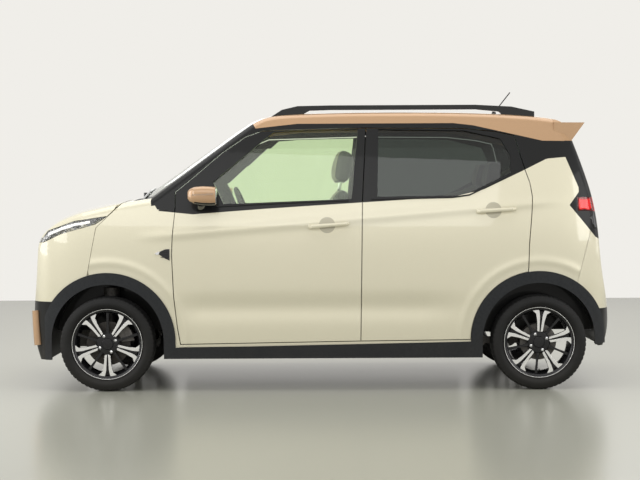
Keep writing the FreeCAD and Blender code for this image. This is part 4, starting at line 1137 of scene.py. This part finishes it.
def make_mirrors():
    """Copper cap, black foot, slim clear lamp and a mirror face on each front door."""
    x0, x1 = -0.752, -0.592
    z0, z1 = 1.070, 1.180
    for side, sy in sides:
        inner, outer = 0.744 * sy, 0.868 * sy
        door = "front_door_" + side

        def rings(rows):
            bm = bmesh.new()
            loops = [add_loop(bm, [(x, (inner + outer) / 2 + (outer - inner) / 2 * size * across,
                                    (z0 + z1) / 2 + lift + (z1 - z0) / 2 * size * rise)
                                   for across, rise in soft_square(32, 0.55)])
                     for x, size, lift in rows]
            skin_loops(bm, loops, True, 0, True)
            return bm

        bm = rings([(x0 + (x1 - x0) * share, size, 0.006 * (1 - share)) for share, size in (
            (0.0, 0.42), (0.08, 0.68), (0.25, 0.90), (0.55, 1.0), (0.85, 0.99), (1.0, 0.93))])
        for face in bm.faces:
            if face.calc_center_median().z < z0 + 0.020:
                face.material_index = 1
        cap = make_piece("mirror_cap_" + side, bm, ("copper paint", "gloss black"), door,
                         bevel=0.003)
        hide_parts("mirror_" + side)
        bm = rings(((x1 + 0.0015, 0.84, 0.0), (x1 + 0.0030, 0.83, 0.0)))
        make_piece("mirror_glass_" + side, bm, ("mirror face",), door)
        line = [(-0.722 + 0.118 * share, outer - sy * (0.0010 + 0.012 * (1 - share) ** 2),
                 1.132 + 0.004 * share) for share in even(8)]
        rod_piece("mirror_lamp_" + side, [line], 0.0055, 10, "clear lens", door)
        place, = side_path(tree_of(door), [(-0.690, 1.055)], sy)
        foot = [(-0.690, place.y - sy * 0.004, 1.050), (-0.688, place.y + sy * 0.020, 1.056),
                (-0.680, inner + sy * 0.012, 1.068), (-0.676, inner + sy * 0.040, 1.080)]
        rod_piece("mirror_foot_" + side, [foot], 0.026, 16, "gloss black", door, bevel=0.002,
                  flat=0.55)


def make_front_face():
    """Copper bars at the corners of the nose and thin black bars across its mouth."""
    tree = tree_of("front_bumper", "grille")
    lines = [[(sy * (0.602 - 0.014 * share), up(0.158 + 0.121 * share)) for share in even(12)]
             for sy in (-1, 1)]
    rod_piece("bumper_copper", [nose_path(tree, line, 0.004) for line in lines], 0.024, 12,
              "copper paint", "car")
    lines = [[(-0.34 + 0.68 * share, up(0.205 + row * 0.018)) for share in even(20)]
             for row in range(5)]
    rod_piece("mouth_bars", [nose_path(tree, line, 0.001) for line in lines], 0.004, 8,
              "gloss black", "car")


def make_wiper_rubbers():
    """Thin rubber lips under the blades."""
    lips = (((-1.020, 0.440, 1.131), (-1.025, 0.130, 1.162), (-1.035, -0.180, 1.152)),
            ((-1.020, -0.060, 1.168), (-1.025, -0.300, 1.148), (-1.040, -0.540, 1.100)))
    rod_piece("wiper_rubbers", lips, 0.0025, 8, "seal rubber", "car")


# cabin


def inflate(piece, cap=0.008, frames=20):
    """Cloth under light pressure, each point moved by at most the cap, applied to the mesh."""
    scene = bpy.context.scene
    mesh = plain_mesh(piece)
    piece.modifiers.clear()
    piece.data = mesh
    rest = [vertex.co.copy() for vertex in mesh.vertices]
    cloth = piece.modifiers.new("Padding", "CLOTH")
    cloth.settings.use_pressure = True
    cloth.settings.uniform_pressure_force = 4
    cloth.settings.effector_weights.gravity = 0
    cloth.settings.quality = 4
    for frame in range(1, frames + 1):
        scene.frame_set(frame)
    blown = plain_mesh(piece)
    piece.modifiers.remove(cloth)
    for vertex, start, after in zip(mesh.vertices, rest, blown.vertices):
        move = after.co - start
        if move.length > cap:
            move *= cap / move.length
        vertex.co = start + move
    bpy.data.meshes.remove(blown)
    scene.frame_set(1)


def cushion(name, low, high, crown, lean, insert):
    """Crowned closed pad with pulled in sides and a sunk centre panel, leaning by degrees."""
    bm = bmesh.new()
    low, high = Vector(low), Vector(high)
    middle = (low + high) / 2
    half = (high - low) / 2
    count = 10
    grid = {}
    for i in range(count + 1):
        for j in range(count + 1):
            for k in range(3):
                u, v, w = 2 * i / count - 1, 2 * j / count - 1, k - 1
                if 0 < i < count and 0 < j < count and k == 1:
                    continue
                edge = max(abs(u), abs(v))
                x = u * half.x * (1 - 0.05 * v * v * (0.3 if k == 1 else 1))
                y = v * half.y * (1 - 0.05 * u * u)
                z = w * half.z * (1 - 0.35 * edge ** 6)
                if k == 2:
                    z += crown * (1 - u * u) * (1 - v ** 4)
                    if abs(abs(v) - insert) < 0.11:
                        z -= crown * 0.55
                grid[(i, j, k)] = bm.verts.new(middle + Vector((x, y, z)))

    def add_face(*keys):
        return bm.faces.new([grid[key] for key in keys])

    for i in range(count):
        for j in range(count):
            for k in (0, 2):
                face = add_face((i, j, k), (i + 1, j, k), (i + 1, j + 1, k), (i, j + 1, k))
                inner = abs(2 * (j + 0.5) / count - 1) < insert
                face.material_index = int(inner and k == 2)
    for i in range(count):
        for k in range(2):
            for j in (0, count):
                add_face((i, j, k), (i + 1, j, k), (i + 1, j, k + 1), (i, j, k + 1))
                add_face((j, i, k), (j, i + 1, k), (j, i + 1, k + 1), (j, i, k + 1))
    turn = Matrix.Rotation(math.radians(lean), 4, "Y")
    for vertex in bm.verts:
        vertex.co = middle + turn @ (vertex.co - middle)
    piece = make_piece(name, bm, seat_finishes, "car", level=2, sharp=180)
    inflate(piece)


# name, x range, half width, z range, crown, lean in degrees, half width of the insert
front_pads = (
    ("seat_cushion_", (-0.480, 0.015), 0.235, (0.530, 0.640), 0.022, 0, 0.6),
    ("seat_back_", (-0.265, 0.375), 0.230, (0.805, 0.905), 0.022, -74, 0.6),
    ("head_rest_", (0.050, 0.230), 0.130, (1.250, 1.345), 0.014, -80, 0.9),
)
bench_pads = (("bench_", (0.430, 0.880), 0.290, (0.500, 0.620), 0.020, 0, 0.6),)
bench_backs = (
    ("bench_back_", (0.640, 1.230), 0.288, (0.830, 0.925), 0.020, -72, 0.6),
    ("rear_rest_", (0.960, 1.110), 0.125, (1.205, 1.285), 0.012, -78, 0.9),
)


def make_pads(side, y, pads):
    """Cushions of one seat whose middle is at y."""
    for name, (x0, x1), half_width, (z0, z1), crown, lean, insert in pads:
        cushion(name + side, (x0, y - half_width, z0), (x1, y + half_width, z1), crown, lean,
                insert)


def make_front_seats():
    """Padded seats with their posts, bases and rails."""
    for side, sy in sides:
        y = 0.330 * sy
        make_pads(side, y, front_pads)
        bm = bmesh.new()
        for shift in (-0.055, 0.055):
            add_rod(bm, [(0.115, y + shift, 1.150), (0.140, y + shift, 1.270)], 0.006, 10)
        add_block(bm, (-0.430, y - 0.205, 0.345), (-0.010, y + 0.205, 0.530), 1)
        for shift in (-0.190, 0.190):
            add_rod(bm, [(-0.450, y + shift, 0.336), (0.010, y + shift, 0.336)], 0.012, 10)
        make_piece("seat_frame_" + side, bm, ("bright plating", "cabin plastic"), "car",
                   bevel=0.004)
    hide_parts("front_seats")


def make_rear_seat():
    """Bench of two halves with backs and head rests."""
    for pads in (bench_pads, bench_backs):
        for side, sy in sides:
            make_pads(side, 0.295 * sy, pads)
    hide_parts("rear_seat")


def make_steering_wheel():
    """Padded rim with stitched grips, three spokes and a plain hub cover."""
    centre = Vector((-0.470, 0.330, 1.012))
    axis = Vector((0.9063, 0, 0.4226))
    right = Vector((0, 1, 0))
    rise = axis.cross(right) * -1

    def radial(angle):
        return right * math.cos(angle) + rise * math.sin(angle)

    bm = bmesh.new()
    loops = []
    for angle in turns(64):
        thick = 0.0163 if abs(math.sin(angle)) < 0.45 else 0.0145
        loops.append(add_loop(bm, [centre + radial(angle) * (0.171 + thick * math.cos(t))
                                   + axis * thick * math.sin(t) for t in turns(14)]))
    skin_loops(bm, loops + loops[:1])
    for angle in (0.0, math.pi, math.radians(270)):
        side = axis.cross(radial(angle))
        rows = []
        for distance, wide, deep in ((0.040, 0.034, 0.010), (0.090, 0.022, 0.010),
                                     (0.130, 0.018, 0.009), (0.166, 0.022, 0.008)):
            spot = centre + radial(angle) * distance - axis * (0.030 * (1 - distance / 0.17))
            rows.append(add_loop(bm, [spot + side * wide * a + axis * deep * b for a, b in (
                (1, 1), (-1, 1), (-1, -1), (1, -1))]))
        skin_loops(bm, rows, True, 1, True)
    pad = [add_loop(bm, [centre + axis * depth + right * size * 1.1 * a + rise * size * 0.85 * b
                         for a, b in soft_square(32, 0.7)])
           for depth, size in ((-0.045, 0.060), (-0.030, 0.068), (-0.005, 0.066), (0.006, 0.056),
                               (0.010, 0.030))]
    skin_loops(bm, pad, True, 1, True)
    add_rod(bm, [centre - axis * 0.040, centre - axis * 0.085], 0.026, 20, 1)
    piece = make_piece("helm", bm, ("soft grip", "cabin plastic"), "steering_wheel", bevel=0.001)
    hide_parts("steering_wheel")
    ring = path_mesh([centre + radial(angle) * 0.1575 for angle in turns(96)], True)
    thread = evaluated_mesh("stitches", "Row of pieces", ring, {
        "Count": 150, "Size": (0.0012, 0.0012, 0.0042), "Material": materials["seat insert"]})
    join_meshes("rim_stitches", (thread,), "seat insert", "steering_wheel")


def make_dashboard_parts():
    """Two screens in their frames."""
    bm = bmesh.new()
    add_block(bm, (-0.640, -0.115, 0.985), (-0.622, 0.115, 1.120), 0)
    add_block(bm, (-0.6215, -0.108, 0.992), (-0.6205, 0.108, 1.113), 1)
    add_block(bm, (-0.660, 0.210, 1.045), (-0.640, 0.450, 1.125), 0)
    add_block(bm, (-0.6395, 0.218, 1.052), (-0.6385, 0.442, 1.118), 1)
    make_piece("dash_screens", bm, ("cabin plastic", "screen"), "car", bevel=0.003)


def make_door_pads():
    """Pale lining pads on the doors."""
    for door, tail in (("front_door_", 0.16), ("rear_door_", 0.22)):
        for side, sy in sides:
            low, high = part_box(door + side)
            tree = tree_of(door + side)
            x0, x1 = low.x + 0.16, high.x - tail
            bm = bmesh.new()
            rows = []
            for share in even(12):
                x = x0 + (x1 - x0) * share
                row = []
                for z in (0.560, 0.600, 0.640, 0.665):
                    place = tree.ray_cast(Vector((x, 0, z)), Vector((0, sy, 0)))[0]
                    if place is None:
                        place = Vector((x, sy * 0.64, z))
                    swell = math.sin(math.pi * (z - 0.555) / 0.115) ** 0.5
                    deep = 0.012 + 0.030 * swell * min(1, math.sin(math.pi * share) * 3)
                    row.append(place - Vector((0, sy * deep, 0)))
                rows.append(add_loop(bm, row))
            skin_loops(bm, rows, False)
            pad = make_piece("door_pad_" + door + side, bm, ("pale cabin plastic",), door + side,
                             level=1)
            add_modifier(pad, "Wall", "SOLIDIFY", thickness=0.010, offset=0)


# stage

area_lamps = (
    ("overhead", (0, -0.4, 4.6), (0, 0, 0), (6.5, 4.0), 132),
    ("near_side", (-1.0, -6.5, 3.6), (0, 0, 0.7), (6.0, 2.4), 84),
    ("near_nose", (-3.6, -3.4, 2.0), (-1.5, -0.7, 0.8), (1.2, 1.8), 26),
    ("near_tail", (3.6, -3.4, 2.0), (1.4, -0.7, 0.9), (1.2, 1.8), 26),
    ("far_side", (0.5, 5.5, 3.4), (0, 0, 0.7), (6.0, 2.4), 60),
    ("nose_side", (-6.0, -1.5, 2.2), (-1, 0, 0.7), (2.4, 3.0), 95),
    ("tail_side", (6.0, -1.5, 2.2), (1, 0, 0.8), (2.4, 3.0), 55),
)


def stage_object(name, data, place=(0, 0, 0), rotation=(0, 0, 0)):
    made = bpy.data.objects.new(name, data)
    made.location = place
    made.rotation_euler = rotation
    bpy.context.scene.collection.objects.link(made)
    return made


def make_stage():
    """Glossy pale floor, bright wall, soft overhead boxes and the camera of the photograph."""
    scene = bpy.context.scene
    settings = scene.hatchback_stage
    scene.view_settings.view_transform = "Standard"
    scene.world = bpy.data.worlds.new("Studio")
    scene.world.use_nodes = True
    tree = scene.world.node_tree
    back = feed(tree.nodes["Background"], Color=(1, 1, 0.985, 1), Strength=0.55)
    shown = add_node(tree, "ShaderNodeBackground", Color=tuple(settings.wall_colour), Strength=1.0)
    path = tree.nodes.new("ShaderNodeLightPath").outputs
    seen = Wire(path["Is Camera Ray"])
    for ray in ("Is Transmission Ray", "Is Glossy Ray"):
        seen = calculate("MAXIMUM", seen, Wire(path[ray]))
    mix_shaders(tree.nodes["World Output"], seen, back, shown)

    tree, shader = new_material("studio floor", Roughness=0.24)
    floor_colour = tuple(settings.floor_colour)
    feed(shader, Base_Color=mix(noise(tree, 0.8, 4.0) * 0.25, floor_colour,
                                shade(floor_colour, 0.86)))
    mesh = bpy.data.meshes.new("studio_floor")
    mesh.from_pydata([(-9, -7, 0), (9, -7, 0), (9, 7, 0), (-9, 7, 0)], [], [(0, 1, 2, 3)])
    mesh.materials.append(materials["studio floor"])
    stage_object("studio_floor", mesh)

    for name, place, target, size, energy in area_lamps:
        lamp = bpy.data.lights.new(name, "AREA")
        lamp.shape = "RECTANGLE"
        lamp.size, lamp.size_y = size
        lamp.energy = energy
        aim = (Vector(target) - Vector(place)).to_track_quat("-Z", "Y").to_euler()
        stage_object(name, lamp, place, aim)

    camera = bpy.data.cameras.new("camera")
    camera.sensor_width = 36
    camera.lens = settings.lens
    scene.camera = stage_object(
        "camera", camera, (0.0, -settings.camera_distance, settings.camera_height),
        (math.radians(90 - 1.62), math.radians(0.27), 0))


# operators


class PieceOperator:
    """Runs its makers in order."""
    bl_options = {"REGISTER", "UNDO"}

    def execute(self, context):
        for make in self.makers:
            make()
        return {"FINISHED"}


class HATCHBACK_OT_finishes(PieceOperator, bpy.types.Operator):
    """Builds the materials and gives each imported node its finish"""
    bl_idname = "hatchback.finishes"
    bl_label = "Finishes"
    makers = (build_materials, finish_nodes)


class HATCHBACK_OT_wheels(PieceOperator, bpy.types.Operator):
    """Makes the four wheels, tyres, brake faces and the bolts of the battery"""
    bl_idname = "hatchback.wheels"
    bl_label = "Wheels and tyres"
    makers = (make_wheels, make_brakes, make_battery_bolts)


class HATCHBACK_OT_lamps(PieceOperator, bpy.types.Operator):
    """Makes the head lamps and tail lamps"""
    bl_idname = "hatchback.lamps"
    bl_label = "Lamps"
    makers = (make_headlamps, make_tail_lamps)


class HATCHBACK_OT_body_details(PieceOperator, bpy.types.Operator):
    """Makes handles, vents, window strips, the nose pieces and wiper rubbers"""
    bl_idname = "hatchback.body_details"
    bl_label = "Body details"
    makers = (make_handles, make_vents, make_window_trim, make_front_face, make_wiper_rubbers)


class HATCHBACK_OT_mirrors(PieceOperator, bpy.types.Operator):
    """Makes the door mirrors"""
    bl_idname = "hatchback.mirrors"
    bl_label = "Mirrors"
    makers = (make_mirrors,)


class HATCHBACK_OT_seats(PieceOperator, bpy.types.Operator):
    """Makes the padded front seats and the rear bench"""
    bl_idname = "hatchback.seats"
    bl_label = "Seats"
    makers = (make_front_seats, make_rear_seat)


class HATCHBACK_OT_cabin(PieceOperator, bpy.types.Operator):
    """Makes the steering wheel, dashboard parts and linings"""
    bl_idname = "hatchback.cabin"
    bl_label = "Cabin"
    makers = (make_steering_wheel, make_dashboard_parts, make_door_pads)


class HATCHBACK_OT_stage(PieceOperator, bpy.types.Operator):
    """Makes the floor, lights and camera"""
    bl_idname = "hatchback.stage"
    bl_label = "Stage"
    makers = (make_stage,)


class HATCHBACK_PT_panel(bpy.types.Panel):
    """Shows the paint, wheel, cabin and stage settings and a button for each maker"""
    bl_label = "Hatchback"
    bl_idname = "HATCHBACK_PT_panel"
    bl_space_type = "VIEW_3D"
    bl_region_type = "UI"
    bl_category = "Hatchback"

    def draw(self, context):
        scene = context.scene
        for label, settings in (("Paint", scene.hatchback_paint),
                                ("Wheels", scene.hatchback_wheels),
                                ("Cabin", scene.hatchback_cabin),
                                ("Stage", scene.hatchback_stage)):
            box = self.layout.box()
            box.label(text=label)
            for key in settings.__annotations__:
                box.prop(settings, key)
        for operator in operators:
            self.layout.operator(operator.bl_idname)


operators = (HATCHBACK_OT_finishes, HATCHBACK_OT_wheels, HATCHBACK_OT_lamps,
             HATCHBACK_OT_body_details, HATCHBACK_OT_mirrors, HATCHBACK_OT_seats,
             HATCHBACK_OT_cabin, HATCHBACK_OT_stage)
settings_groups = (("hatchback_paint", PaintSettings), ("hatchback_wheels", WheelSettings),
                   ("hatchback_cabin", CabinSettings), ("hatchback_stage", StageSettings))


def register():
    for name, group in settings_groups:
        bpy.utils.register_class(group)
        setattr(bpy.types.Scene, name, PointerProperty(type=group))
    for operator in operators:
        bpy.utils.register_class(operator)
    bpy.utils.register_class(HATCHBACK_PT_panel)


def unregister():
    bpy.utils.unregister_class(HATCHBACK_PT_panel)
    for operator in reversed(operators):
        bpy.utils.unregister_class(operator)
    for name, group in reversed(settings_groups):
        delattr(bpy.types.Scene, name)
        bpy.utils.unregister_class(group)


def main():
    register()
    bpy.ops.hatchback.finishes()
    bpy.ops.hatchback.wheels()
    bpy.ops.hatchback.lamps()
    bpy.ops.hatchback.body_details()
    bpy.ops.hatchback.mirrors()
    bpy.ops.hatchback.seats()
    bpy.ops.hatchback.cabin()
    bpy.ops.hatchback.stage()


if __name__ == "__main__":
    main()
